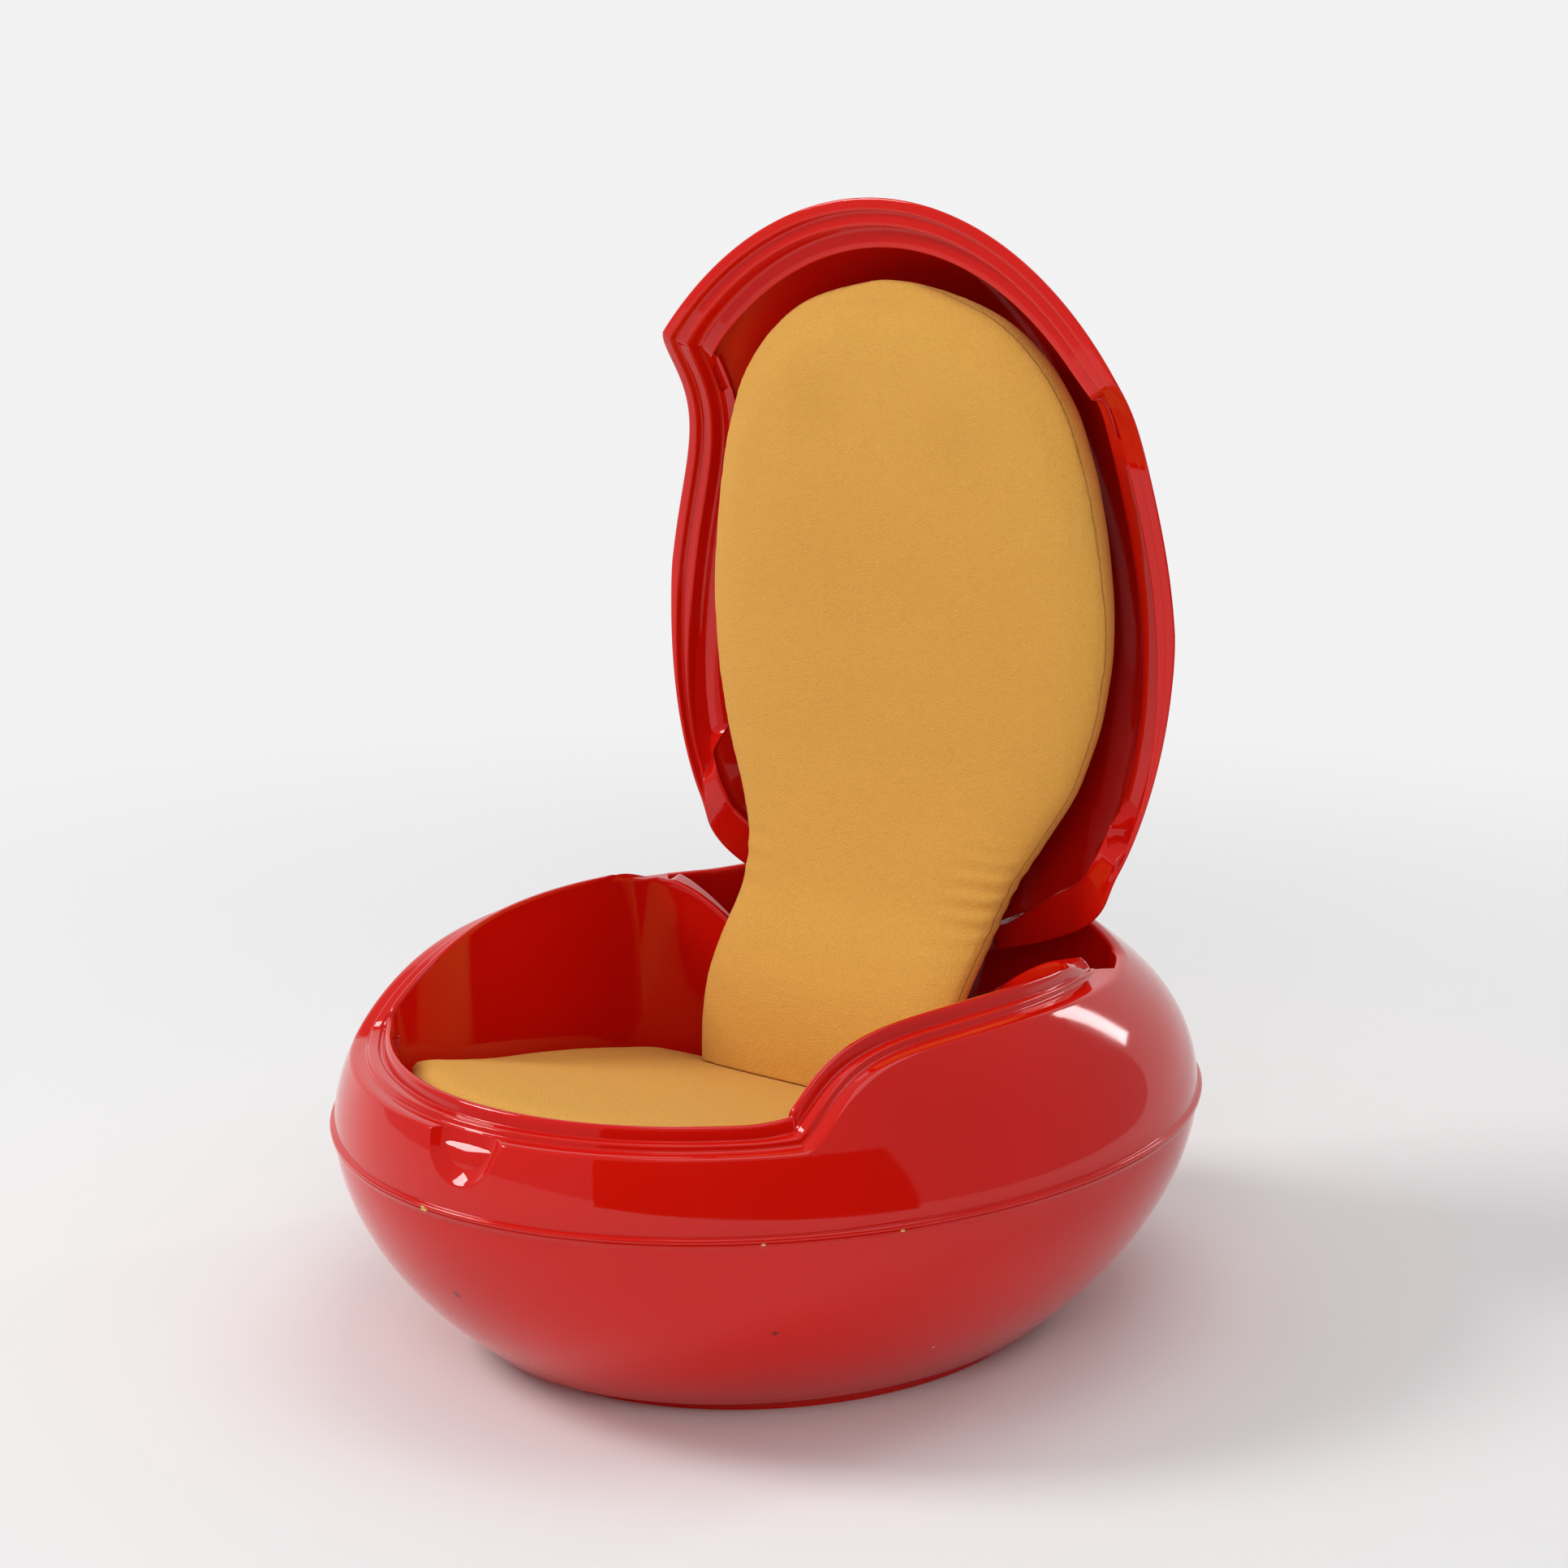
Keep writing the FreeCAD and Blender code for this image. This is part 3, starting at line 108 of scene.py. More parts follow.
def columns():
    """Angles of the columns: even all round, finer at the finger recess and the trough's ends."""
    even = np.linspace(0.0, 2 * math.pi, 420, endpoint=False)
    finger = -math.pi / 2 + np.linspace(-0.115, 0.115, 96)
    end = math.radians(31.0) + np.linspace(-0.10, 0.10, 44)
    every = np.concatenate([even, finger, end, math.pi - end])
    every = np.unique(np.round(np.mod(every + math.pi / 2, 2 * math.pi), 6))
    keep = np.concatenate([[True], np.diff(every) > 0.0012])
    return every[keep] - math.pi / 2


AROUND = columns()


def inward(ring):
    """Level unit directions into a ring that runs anticlockwise, from its angular slope."""
    step = np.roll(ring, -1, 0) - np.roll(ring, 1, 0)
    way = np.stack([-step[:, 1], step[:, 0], np.zeros(len(ring))], -1)
    return way / np.linalg.norm(way, axis=1, keepdims=True)


def raised(ring, height):
    """The ring laid at a height, one for all its points or one for each."""
    out = ring.copy()
    out[:, 2] = height
    return out


def rim_ring():
    """The rim lies on the egg's skin at the parting line's height for its own y; sixty times
    the height is moved half of the way there."""
    height = np.full(len(AROUND), RIM_FRONT)
    for _ in range(60):
        height = 0.5 * (height + parting(egg(AROUND, height)[:, 1]))
    return egg(AROUND, height)


RIM = rim_ring()
RIM_IN = inward(RIM)
# to the rear the steps' lift fades away, over a run that starts here
FADE_START, FADE_RUN = 0.105, 0.075
FADE = ease((RIM[:, 1] - FADE_START) / FADE_RUN)
KEEP = 1.0 - FADE

# what the height changes by where the parting line is averaged over 70 mm of depth
SHIFTS = np.linspace(-0.035, 0.035, 9)
ROUNDED = np.mean([parting(RIM[:, 1] + d) for d in SHIFTS], axis=0) - parting(RIM[:, 1])


def rounded(reach):
    """Change of height at a reach inside the rim: the further in, the rounder the corners."""
    return ROUNDED * ease(reach / 0.040)


def lid_inset(y):
    """How far the lid's edge lies inside the base's rim: a quarter sine to the power 1.3 that
    starts beside the sitter's knees, less a smooth step behind the hinge."""
    grow = np.sin(0.5 * math.pi * np.clip((y + 0.045) / 0.215, 0.0, 1.0)) ** 1.3
    return 0.0180 * grow - 0.0120 * ease((y - 0.190) / 0.060)


INSET = lid_inset(RIM[:, 1])
# reach inside the rim at which the two steps end
LANDS = 0.0285


def nested(reach):
    """Reach inside the rim of the steps, with the lid's inset added in full at the rim and not
    at all past the steps, so that they close up beside the arms and still fit each other."""
    return reach + INSET * (1.0 - np.minimum(reach / LANDS, 1.0))


def rim_at(reach, lift):
    """Ring reach inside the rim and lift above it, while the steps last."""
    out = RIM + RIM_IN * nested(reach)[:, None]
    out[:, 2] += lift * KEEP + rounded(reach)
    return out


# Meshes from rings

def blend_of(a, b, weight):
    """Points that lie a weight of the way from a to b, one weight for all or one for each."""
    return a + (b - a) * np.asarray(weight)[..., None]


def soften(corners, radii, steps=5):
    """Rows along a chain of rings: each corner ring is rounded with a quadratic curve that
    leaves its sides a radius away, and a row just outside each curve keeps the flats flat."""
    rows = []
    for i, (ring, radius) in enumerate(zip(corners, radii)):
        if radius <= 0.0 or i in (0, len(corners) - 1):
            rows.append(ring)
            continue
        before, after = corners[i - 1] - ring, corners[i + 1] - ring
        far, near = (np.linalg.norm(v, axis=1, keepdims=True) + 1e-9 for v in (before, after))
        start = ring + before * np.minimum(radius / far, 0.46)
        end = ring + after * np.minimum(radius / near, 0.46)
        rows.append(ring + before * np.minimum(1.25 * radius / far, 0.49))
        for t in np.linspace(0.0, 1.0, steps):
            rows.append(start * (1 - t) ** 2 + ring * 2 * t * (1 - t) + end * t * t)
        rows.append(ring + after * np.minimum(1.25 * radius / near, 0.49))
    return rows


def mesh_object(name, points, faces):
    """Smooth-shaded object with its place in its mesh."""
    mesh = bpy.data.meshes.new(name)
    mesh.from_pydata(points.tolist(), [], faces)
    mesh.polygons.foreach_set("use_smooth", np.full(len(mesh.polygons), True))
    mesh.validate()
    mesh.update()
    made = bpy.data.objects.new(name, mesh)
    bpy.context.scene.collection.objects.link(made)
    return made


def quads(rows, cols, closed):
    """Corners of each cell of a grid of points; a closed grid joins its last column to its
    first."""
    i, j = np.meshgrid(np.arange(rows - 1), np.arange(cols if closed else cols - 1), indexing="ij")
    after = (j + 1) % cols
    corners = [i * cols + j, i * cols + after, (i + 1) * cols + after, (i + 1) * cols + j]
    return np.stack(corners, -1).reshape(-1, 4).tolist()


def loft(name, rows, start_pole, end_pole, flip=False):
    """Closed surface through rings of equal count: quads between rings, fans at the poles."""
    rings = np.stack(rows)
    count, around = rings.shape[:2]
    points = np.concatenate([rings.reshape(-1, 3), np.array([start_pole, end_pole], float)])
    first = np.arange(around)
    last = first + (count - 1) * around
    start, end = np.full(around, count * around), np.full(around, count * around + 1)
    faces = quads(count, around, True)
    faces += np.stack([np.roll(first, -1), first, start], -1).tolist()
    faces += np.stack([last, np.roll(last, -1), end], -1).tolist()
    if flip:
        faces = [face[::-1] for face in faces]
    return mesh_object(name, points, faces)


def beaded(ring, profile):
    """Small bead along a ring: one ring for each pair of out and up in its profile."""
    ways = inward(ring)
    return [ring - ways * out + [0, 0, up] for out, up in profile]


# Lower shell

LOWER_BEAD = [(0.0008, 0.0002), (0.0024, 0.0005), (0.0031, 0.0012), (0.0031, 0.0019),
              (0.0026, 0.0024)]


def lower_shell():
    """Bowl from the foot up to the girth, a small bead there, and the inner skin."""
    low, floor = 0.012, 0.022
    skirt = SEAM - 0.0028
    heights = skirt - (skirt - low - 0.005) * np.linspace(0.0, 1.0, 40)
    skin = [egg(AROUND, h) for h in heights]
    turn = raised(egg(AROUND, low + 0.005, 0.002), low + 0.0015)
    under = raised(egg(AROUND, low + 0.005, 0.007), low)
    bead = beaded(skin[0], LOWER_BEAD)
    inside = [egg(AROUND, floor + (skirt - floor) * k, WALL) for k in np.linspace(1.0, 0.05, 12)]
    pan = raised(egg(AROUND, floor + 0.005, 0.018), floor)
    top = [raised(ring, SEAM - 0.0002) for ring in (bead[-1], inside[0])]
    rows = [under, turn] + skin[::-1] + bead + top + inside + [pan]
    return loft("lower_skin", rows, (0, 0, low), (0, 0, floor))


# Upper shell

# rear and front of the tub's corner behind the sitter, its power, the wall's lean, the lip
TUB_Y, TUB_CORNER_Y, TUB_POWER, DRAFT, LIP = 0.150, 0.048, 4.5, 0.016, 0.037
# height of its rear edge, and the y of the middle of its floor
TUB_TOP, TUB_MIDDLE = 0.341, -0.05


def tub_ring(depth, out=0.0):
    """Tub's wall in plan: the lip's ring drawn in by the draft, and behind the sitter a
    superellipse corner of power 4.5 laid along the columns by equal shares of its length."""
    lip = RIM + RIM_IN * LIP
    shift = DRAFT * depth - out
    lip = lip + inward(lip) * shift
    start_y, rear = TUB_CORNER_Y, TUB_Y - shift
    behind = lip[:, 1] > start_y
    right = behind & (lip[:, 0] > 0)
    front = np.where(~behind & (lip[:, 0] > 0))[0]
    last = front[np.argmax(lip[front, 1])]
    first = np.where(right)[0][np.argmin(lip[right, 1])]
    slope = (lip[first, 0] - lip[last, 0]) / (lip[first, 1] - lip[last, 1])
    start = lip[first]
    t = np.linspace(0.0, math.pi / 2, 400)
    y = start[1] + (rear - start[1]) * np.sin(t) ** 0.8
    share = (y - start[1]) / (rear - start[1])
    corner = (1.0 - np.minimum(share, 1.0) ** TUB_POWER) ** (1 / TUB_POWER)
    x = (start[0] + slope * (y - start[1])) * corner
    length = np.concatenate([[0.0], np.cumsum(np.hypot(np.diff(x), np.diff(y)))])
    angle = np.mod(AROUND, 2 * math.pi)
    span = math.pi - 2 * angle[first]
    want = 2.0 * length[-1] * (angle - angle[first]) / span
    mirror = want > length[-1]
    want = np.clip(np.where(mirror, 2.0 * length[-1] - want, want), 0.0, length[-1])
    laid_x = np.interp(want, length, x) * np.where(mirror, -1.0, 1.0)
    laid = np.stack([laid_x, np.interp(want, length, y), np.zeros(len(AROUND))], -1)
    ring = np.where(behind[:, None], laid, lip)
    ring[:, 2] = 0.0
    return ring


def tub_floor(y):
    """The tub's floor: level across, and falling to the rear by 160 mm in a metre."""
    return 0.176 - 0.16 * (y + 0.340)


def dip(x):
    """Top of the rear wall: low in the middle, where the back cushion passes."""
    return TUB_TOP - 0.093 * (1.0 - ease((np.abs(x) - 0.050) / 0.195))


def tub_top():
    """Height of the tub's edge along the columns: the lip's, then level behind the arms."""
    lip = RIM[:, 2] + 0.016 * KEEP + rounded(LIP)
    return lip + (TUB_TOP - lip) * FADE


TUB = tub_ring(0.0)
BRIM = np.where(RIM[:, 1] > 0.1, np.minimum(tub_top(), dip(TUB[:, 0])), tub_top())

# the trough behind the tub: its outer edge in plan, the line on which each column crosses its
# front wall, and how far a column belongs to it
WELL_Y, WELL_FLOOR, WELL_INSET = 0.163, 0.222, 0.009
WELL = raised(RIM + RIM_IN * WELL_INSET, 0.0)
CROSSING = (WELL_Y - WELL[:, 1]) / np.minimum(TUB[:, 1] - WELL[:, 1], -1e-4)
WALL_LINE = blend_of(WELL, TUB, np.clip(CROSSING, 0.0, 0.97))
BEHIND = ease((WELL[:, 1] - 0.1665) / 0.0075)

# finger recess: its middle across and up, its half sizes and its depth
FINGER_X, FINGER_Z, FINGER_HALF, FINGER_DROP, FINGER_DEPTH = 0.003, 0.276, 0.0385, 0.044, 0.0125


def front_skin(x, z):
    """y of the skin in front at x and at a height z over the girth: the half length there
    times the root of 1 less the square of the share across."""
    up = (z - SEAM) / CROWN
    across = x / (HALF_WIDTH * lean(up, SIDE) * (1.0 - TAPER))
    return -HALF_LENGTH * lean(up, FRONT) * np.sqrt(np.maximum(1.0 - across * across, 0.0))


def recess(points):
    """Finger recess, an oval scoop: its depth is full in the middle, on the rim, and falls by
    the distance to the power 3.4; points in front of the scoop are pushed back to it."""
    x, z = points[..., 0], points[..., 2]
    level = np.minimum(z, RIM_FRONT)
    oval = ((x - FINGER_X) / FINGER_HALF) ** 2 + ((FINGER_Z - level) / FINGER_DROP) ** 2
    depth = FINGER_DEPTH * np.clip(1.0 - oval ** 1.7, 0.0, 1.0)
    scooped = (points[..., 1] < -0.36) & (depth > 0.0)
    pushed = np.maximum(points[..., 1], front_skin(x, level) + depth)
    out = points.copy()
    out[..., 1] = np.where(scooped, pushed, points[..., 1])
    return out


def steps_section():
    """Corners from the rim to the tub where the rim is stepped, as reach and lift."""
    steps = [(0.014, 0.0), (0.0155, 0.006), (0.0245, 0.006), (0.0255, 0.0045),
             (LANDS, 0.0045), (0.0310, 0.016)]
    return [rim_at(reach, lift) for reach, lift in steps] + [raised(TUB, BRIM)]


def trough_section():
    """Corners from the rim to the tub behind it: down, across the trough's floor and up its
    front wall, whose nose is lower at the trough's ends."""
    nose = BRIM - 0.018 * ease((np.abs(WALL_LINE[:, 0]) - 0.234) / 0.018)
    outer, inner = raised(WELL, WELL_FLOOR), raised(WALL_LINE, WELL_FLOOR)
    middle = blend_of(outer, inner, 0.5)
    return [raised(WELL, RIM[:, 2]), outer, blend_of(outer, middle, 0.9), middle, inner,
            raised(WALL_LINE, nose), raised(TUB, BRIM)]


def tub_walls():
    """Rings down the tub: plans between its top, its middle and its foot, and heights at equal
    shares of the way to the floor; the last ring lies on the floor."""
    middle, foot = tub_ring(0.5), tub_ring(1.0)
    rows = []
    for k in np.linspace(0.12, 1.0, 9):
        near, far, share = (TUB, middle, k / 0.5) if k <= 0.5 else (middle, foot, (k - 0.5) / 0.5)
        ring = near + (far - near) * share
        rows.append(raised(ring, BRIM + (tub_floor(ring[:, 1]) - BRIM) * k))
    floor = (foot + inward(foot) * 0.0005) * [0.55, 0.55, 1] + [0, TUB_MIDDLE, 0]
    return rows + [raised(floor, tub_floor(floor[:, 1]))]


def hidden_side():
    """Outside of the tub and of the trough, and the lining of the skin."""
    high, middle, low = (tub_ring(depth, WALL) for depth in (0.0, 0.5, 1.0))
    floor = tub_floor(low[:, 1]) - WALL
    lining = RIM[:, 2] - 0.0115
    lining = lining + (WELL_FLOOR - WALL - lining) * BEHIND
    girth = SEAM + 0.0002
    skin = egg(AROUND, lining, WALL)
    pairs = [(raised(low, floor), raised(low, floor)),
             (raised(middle, 0.5 * (BRIM + floor)), raised(low, WELL_FLOOR - 1.5 * WALL)),
             (raised(high, BRIM - 0.010 * KEEP - WALL), raised(WALL_LINE, WELL_FLOOR - WALL)),
             (skin, skin)]
    rows = [blend_of(a, b, BEHIND) for a, b in pairs]
    rows += [egg(AROUND, girth + (lining - SEAM) * k, WALL) for k in (0.75, 0.5, 0.25)]
    return rows + [egg(AROUND, girth, WALL)]


UPPER_BEAD = [(0.0030, -0.0046), (0.0037, -0.0040), (0.0040, -0.0028), (0.0037, -0.0016),
              (0.0028, -0.0007), (0.0012, -0.0001)]
# a corner that stays sharp but has the rows of a round one
SHARP = 1e-5


def upper_shell():
    """Skin from the girth to the rim, the stepped rim, the tub, and the trough behind it.
    Columns behind the tub change from the steps' section to the trough's section."""
    skirt, edge = SEAM + 0.0048, RIM[:, 2] - 0.006
    skin = [egg(AROUND, skirt + (edge - skirt) * k) for k in np.linspace(0.0, 1.0, 46)]
    corners = [blend_of(a, b, BEHIND) for a, b in zip(steps_section(), trough_section())]
    chain = [skin[-1], RIM] + corners + tub_walls()
    down = [0.0] * 8 + [0.010, 0.0]
    steps = [0.0, 0.0055, 0.0028, 0.0022, 0.0008, 0.0008, 0.0016, 0.0040, 0.0034] + down
    trough = [0.0, 0.0055, 0.0045, 0.014, SHARP, SHARP, 0.012, 0.0055, 0.0055] + down
    rows = [blend_of(a, b, BEHIND) for a, b in zip(soften(chain, steps), soften(chain, trough))]
    rows = [recess(row) for row in skin[:-1] + rows]
    floor = float(tub_floor(TUB_MIDDLE))
    return loft("upper_skin", hidden_side() + beaded(skin[0], UPPER_BEAD) + rows,
                (0, TUB_MIDDLE, floor - WALL), (0, TUB_MIDDLE, floor))


# Lid

LID_EDGE = RIM + RIM_IN * INSET[:, None] + [0, 0, 0.0013]
LID_IN = inward(LID_EDGE)
# the tail's flange is narrow between the hinges and wide beside them
BESIDE = ease((np.abs(RIM[:, 0]) - 0.090) / 0.110)
NARROW = 0.5 * ease((RIM[:, 1] - 0.200) / 0.090) * (1.0 - BESIDE)
# the hollow's edge, the lid's wall, and the power by which its rows are spread
HOLLOW, LID_WALL, SPREAD = 0.0515, 0.009, 1.9


def opened(points):
    """Closed lid turned open: a turn of minus 92 degrees about the hinge axis."""
    y, z = points[..., 1] - HINGE_Y, points[..., 2] - HINGE_Z
    c, s = math.cos(OPEN), math.sin(OPEN)
    return np.stack([points[..., 0], HINGE_Y + c * y + s * z, HINGE_Z - s * y + c * z], -1)


def lid_at(reach, lift):
    """Ring under the lid; the steps end on a slant against the tail's plain flange."""
    plain = ease((RIM[:, 1] - 0.188 + 1.1 * reach) / 0.028)
    out = RIM + RIM_IN * nested(reach * (1.0 - NARROW))[:, None]
    out[:, 2] = LID_EDGE[:, 2] + lift * (1.0 - plain) + rounded(reach)
    return out


def lid_skin(share, inset, low):
    """Skin a share of the way from a ring of heights to the crown, even along a superellipse;
    in its lowest 95 mm it is drawn in by the edge's inset and the square of the way left."""
    rise = CROWN - inset
    start = np.clip((low - SEAM) / rise, 0.0, 1.0)
    width = (1.0 - start ** SPREAD) ** (1 / SPREAD) * (1.0 - share)
    height = SEAM + rise * (1.0 - width ** SPREAD) ** (1 / SPREAD)
    height = np.minimum(height, SEAM + CROWN - inset)
    lift = np.clip((height - LID_EDGE[:, 2]) / 0.095, 0.0, 1.0)
    draw = INSET * (1.0 - lift) ** 2
    return egg(AROUND, height, inset) + LID_IN * draw[:, None]


def lid_shell():
    """Outer skin from the crown to the edge, the steps under it, a flank and the hollow."""
    outer = [lid_skin(1.0 - k, 0.0, LID_EDGE[:, 2] + 0.006) for k in np.linspace(1.0, 0.03, 54)]
    outer = outer[::-1]
    steps = [(0.012, 0.0), (0.0135, 0.006), (0.0265, 0.006), (LANDS, 0.020), (HOLLOW, 0.020)]
    under = [LID_EDGE] + [lid_at(reach, lift) for reach, lift in steps]
    plain = ease((RIM[:, 1] - 0.131) / 0.028)
    low = LID_EDGE[:, 2] + rounded(HOLLOW) + 0.020 * (1.0 - plain) + 0.011
    inner = [lid_skin(1.0 - k, LID_WALL, low) for k in np.linspace(1.0, 0.03, 44)]
    chain = [outer[-1]] + under + [inner[0]]
    rows = soften(chain, [0, 0.0050, 0.0018, 0.0018, 0.0026, 0.0030, 0.0090, 0])
    rows = [opened(row) for row in outer[:-1] + rows + inner[1:]]
    top = SEAM + CROWN
    poles = opened(np.array([[0.0, 0.0, top], [0.0, 0.0, top - LID_WALL]]))
    return loft("lid_skin", rows, poles[0], poles[1])


# Cushions

FINE = 1200


def along(table, count, blur):
    """Even stations along a table of values by arc length of its first two columns,
    with the corners rounded by a bell-shaped average."""
    table = np.array(table, float)
    length = np.concatenate([[0.0], np.cumsum(np.hypot(*np.diff(table[:, :2], axis=0).T))])
    fine = np.linspace(0.0, length[-1], FINE)
    values = np.stack([np.interp(fine, length, c) for c in table.T], -1)
    reach = max(1, int(blur / length[-1] * FINE))
    kernel = np.exp(-0.5 * (np.arange(-3 * reach, 3 * reach + 1) / reach) ** 2)
    kernel /= kernel.sum()
    lead = 2 * values[0] - values[3 * reach:0:-1]
    tail = 2 * values[-1] - values[-2:-3 * reach - 2:-1]
    wide = np.concatenate([lead, values, tail])
    smooth = np.stack([np.convolve(c, kernel, "valid") for c in wide.T], -1)
    return np.stack([np.interp(np.linspace(0, 1, count), np.linspace(0, 1, FINE), c)
                     for c in smooth.T], -1)


# front edge of the back cushion: y, z, half width, depth behind its seam, crown in front
BACK_LINE = [
    (0.184, 0.928, 0.018, 0.004, 0.000), (0.184, 0.921, 0.062, 0.014, 0.001),
    (0.184, 0.910, 0.094, 0.022, 0.002), (0.185, 0.892, 0.126, 0.034, 0.004),
    (0.186, 0.861, 0.161, 0.046, 0.006), (0.187, 0.820, 0.189, 0.054, 0.007),
    (0.190, 0.760, 0.209, 0.058, 0.008), (0.193, 0.700, 0.220, 0.060, 0.008),
    (0.196, 0.640, 0.227, 0.060, 0.008), (0.196, 0.600, 0.227, 0.058, 0.008),
    (0.193, 0.540, 0.219, 0.054, 0.008), (0.186, 0.480, 0.201, 0.048, 0.007),
    (0.173, 0.430, 0.173, 0.042, 0.006), (0.158, 0.392, 0.153, 0.036, 0.005),
    (0.138, 0.352, 0.145, 0.034, 0.004), (0.100, 0.308, 0.144, 0.032, 0.004),
    (0.079, 0.275, 0.143, 0.034, 0.004), (0.069, 0.238, 0.141, 0.044, 0.004),
    (0.066, 0.212, 0.140, 0.048, 0.004), (0.066, 0.184, 0.139, 0.048, 0.003)]


def directions(line):
    """Unit directions along a line of points in its first two columns."""
    slope = np.gradient(line[:, :2], axis=0)
    return slope / np.linalg.norm(slope, axis=1, keepdims=True)


def back_form():
    """Sections across the cushion along its front edge line: a superellipse, flat in front
    with power 4.2 and rounder behind with power 2.4, each turned square to the line; the front
    is crowned by 1 less the share of the half width to the power 4.5."""
    line = along(BACK_LINE, 110, 0.012)
    turn = np.linspace(0, 2 * math.pi, 120, endpoint=False)
    up = np.sin(turn)
    power = np.where(up > 0, 2.4, 4.2)
    rows = []
    for (y, z, half, depth, crown), (ty, tz) in zip(line, directions(line)):
        edge = min(0.014, 0.25 * half)
        side = np.maximum(half, 1e-3) * signed_power(np.cos(turn), power)
        reach = np.where(up > 0, depth, edge) * signed_power(up, power)
        reach -= np.where(up < 0, 1.6 * crown * (1.0 - np.abs(side / half) ** 4.5), 0.0)
        reach = reach + edge
        rows.append(np.stack([side, y - tz * reach, z + ty * reach], -1))
    return rows, line


# edge of the seat pad: height of its plan on the tub's wall, gap to the wall, own height
SEAT_EDGE = [
    (0.004, 0.0240, 0.0020), (0.006, 0.0120, 0.0060), (0.020, 0.0065, 0.0200),
    (0.032, 0.0060, 0.0320), (0.045, 0.0060, 0.0450), (0.057, 0.0060, 0.0570),
    (0.066, 0.0068, 0.0660), (0.074, 0.0092, 0.0740), (0.081, 0.0140, 0.0810),
    (0.086, 0.0220, 0.0858), (0.089, 0.0330, 0.0886)]
SEAT_CROWN = 0.0039


def fullness(y):
    """Factor on the seat pad's heights: fuller in front and thinner behind."""
    return 0.966 - 0.78 * (y + 0.060)


def seat_form():
    """Seat pad along the tub's wall: flat below, upright sides, and a crown that falls off
    with the square of the distance from the middle."""
    foot = tub_ring(1.0)
    depth = tub_top() - tub_floor(TUB[:, 1])

    def lift(ring, above):
        """Ring at a height over the tub's floor."""
        return raised(ring, tub_floor(ring[:, 1]) + above * fullness(ring[:, 1]))

    rows = []
    for place, gap, above in SEAT_EDGE:
        ring = blend_of(TUB, foot, 1.0 - place / depth)
        rows.append(lift(ring + inward(ring) * gap, above))
    rim, top = rows[-1], SEAT_EDGE[-1][2]
    middle = 0.5 * (rim[:, 1].min() + rim[:, 1].max())
    for k in (0.85, 0.7, 0.55, 0.4, 0.25, 0.1):
        ring = np.stack([rim[:, 0] * k, middle + (rim[:, 1] - middle) * k, rim[:, 2]], -1)
        rows.append(lift(ring, top + SEAT_CROWN * (1 - k * k)))
    every = np.arange(0, len(AROUND), 4)
    floor = float(tub_floor(middle))
    high = floor + (top + SEAT_CROWN) * fullness(middle)
    return [row[every] for row in rows], (0, middle, floor + 0.002), (0, middle, high)


def smoothed(mesh, values, rounds):
    """Values at the points of a mesh, averaged with their neighbours so many times over."""
    ends = np.zeros(len(mesh.edges) * 2, int)
    mesh.edges.foreach_get("vertices", ends)
    near, far = ends.reshape(-1, 2).T
    here, there = np.concatenate([near, far]), np.concatenate([far, near])
    count = np.maximum(np.bincount(here, minlength=len(values)), 1)[:, None]
    for _ in range(rounds):
        total = np.stack([np.bincount(here, column[there], len(values)) for column in values.T], -1)
        values = 0.5 * values + 0.5 * total / count
    return values


# frames of the cover's blowing up, and rounds of averaging its shift
COVER_FRAMES, COVER_ROUNDS = 20, 24


def blown_up(pad, start, pressure, hold):
    """Where the pad's points come to as cloth under pressure, with the held ones pinned."""
    pins = pad.vertex_groups.new(name="held")
    pins.add(np.where(hold(start))[0].tolist(), 1.0, "REPLACE")
    cloth = pad.modifiers.new("Cover", "CLOTH")
    cloth.settings.quality = 5
    cloth.settings.mass = 0.25
    cloth.settings.tension_stiffness = cloth.settings.compression_stiffness = 18.0
    cloth.settings.shear_stiffness = 8.0
    cloth.settings.bending_stiffness = 2.0
    cloth.settings.use_pressure = True
    cloth.settings.uniform_pressure_force = pressure
    cloth.settings.effector_weights.gravity = 0.0
    cloth.settings.vertex_group_mass = "held"
    cloth.point_cache.frame_start, cloth.point_cache.frame_end = 1, COVER_FRAMES
    for step in range(1, COVER_FRAMES + 1):
        bpy.context.scene.frame_set(step)
    graph = bpy.context.evaluated_depsgraph_get()
    moved = np.zeros(len(start) * 3)
    pad.evaluated_get(graph).data.vertices.foreach_get("co", moved)
    pad.modifiers.remove(cloth)
    pad.vertex_groups.remove(pins)
    bpy.context.scene.frame_set(1)
    return moved.reshape(-1, 3)


def stuffed(made, voxel, pressure, cap, hold):
    """Foam under a stretched cover: the form is remeshed and blown up as cloth with its held
    part pinned; the shift is averaged with the neighbours' and is never more than the cap."""
    name = made.name
    remesh = made.modifiers.new("Skin", "REMESH")
    remesh.mode, remesh.voxel_size, remesh.use_smooth_shade = "VOXEL", voxel, True
    graph = bpy.context.evaluated_depsgraph_get()
    mesh = bpy.data.meshes.new_from_object(made.evaluated_get(graph))
    bpy.data.objects.remove(made)
    pad = bpy.data.objects.new(name, mesh)
    bpy.context.scene.collection.objects.link(pad)
    start = np.zeros(len(mesh.vertices) * 3)
    mesh.vertices.foreach_get("co", start)
    start = start.reshape(-1, 3)
    moved = blown_up(pad, start, pressure, hold)
    shift = smoothed(mesh, moved - start, COVER_ROUNDS)
    size = np.linalg.norm(shift, axis=1, keepdims=True)
    points = start + shift * np.minimum(1.0, cap / np.maximum(size, 1e-9))
    return pad, points


def set_points(made, points):
    made.data.vertices.foreach_set("co", points.ravel())
    made.data.update()
    made.data.polygons.foreach_set("use_smooth", np.full(len(made.data.polygons), True))
    return made


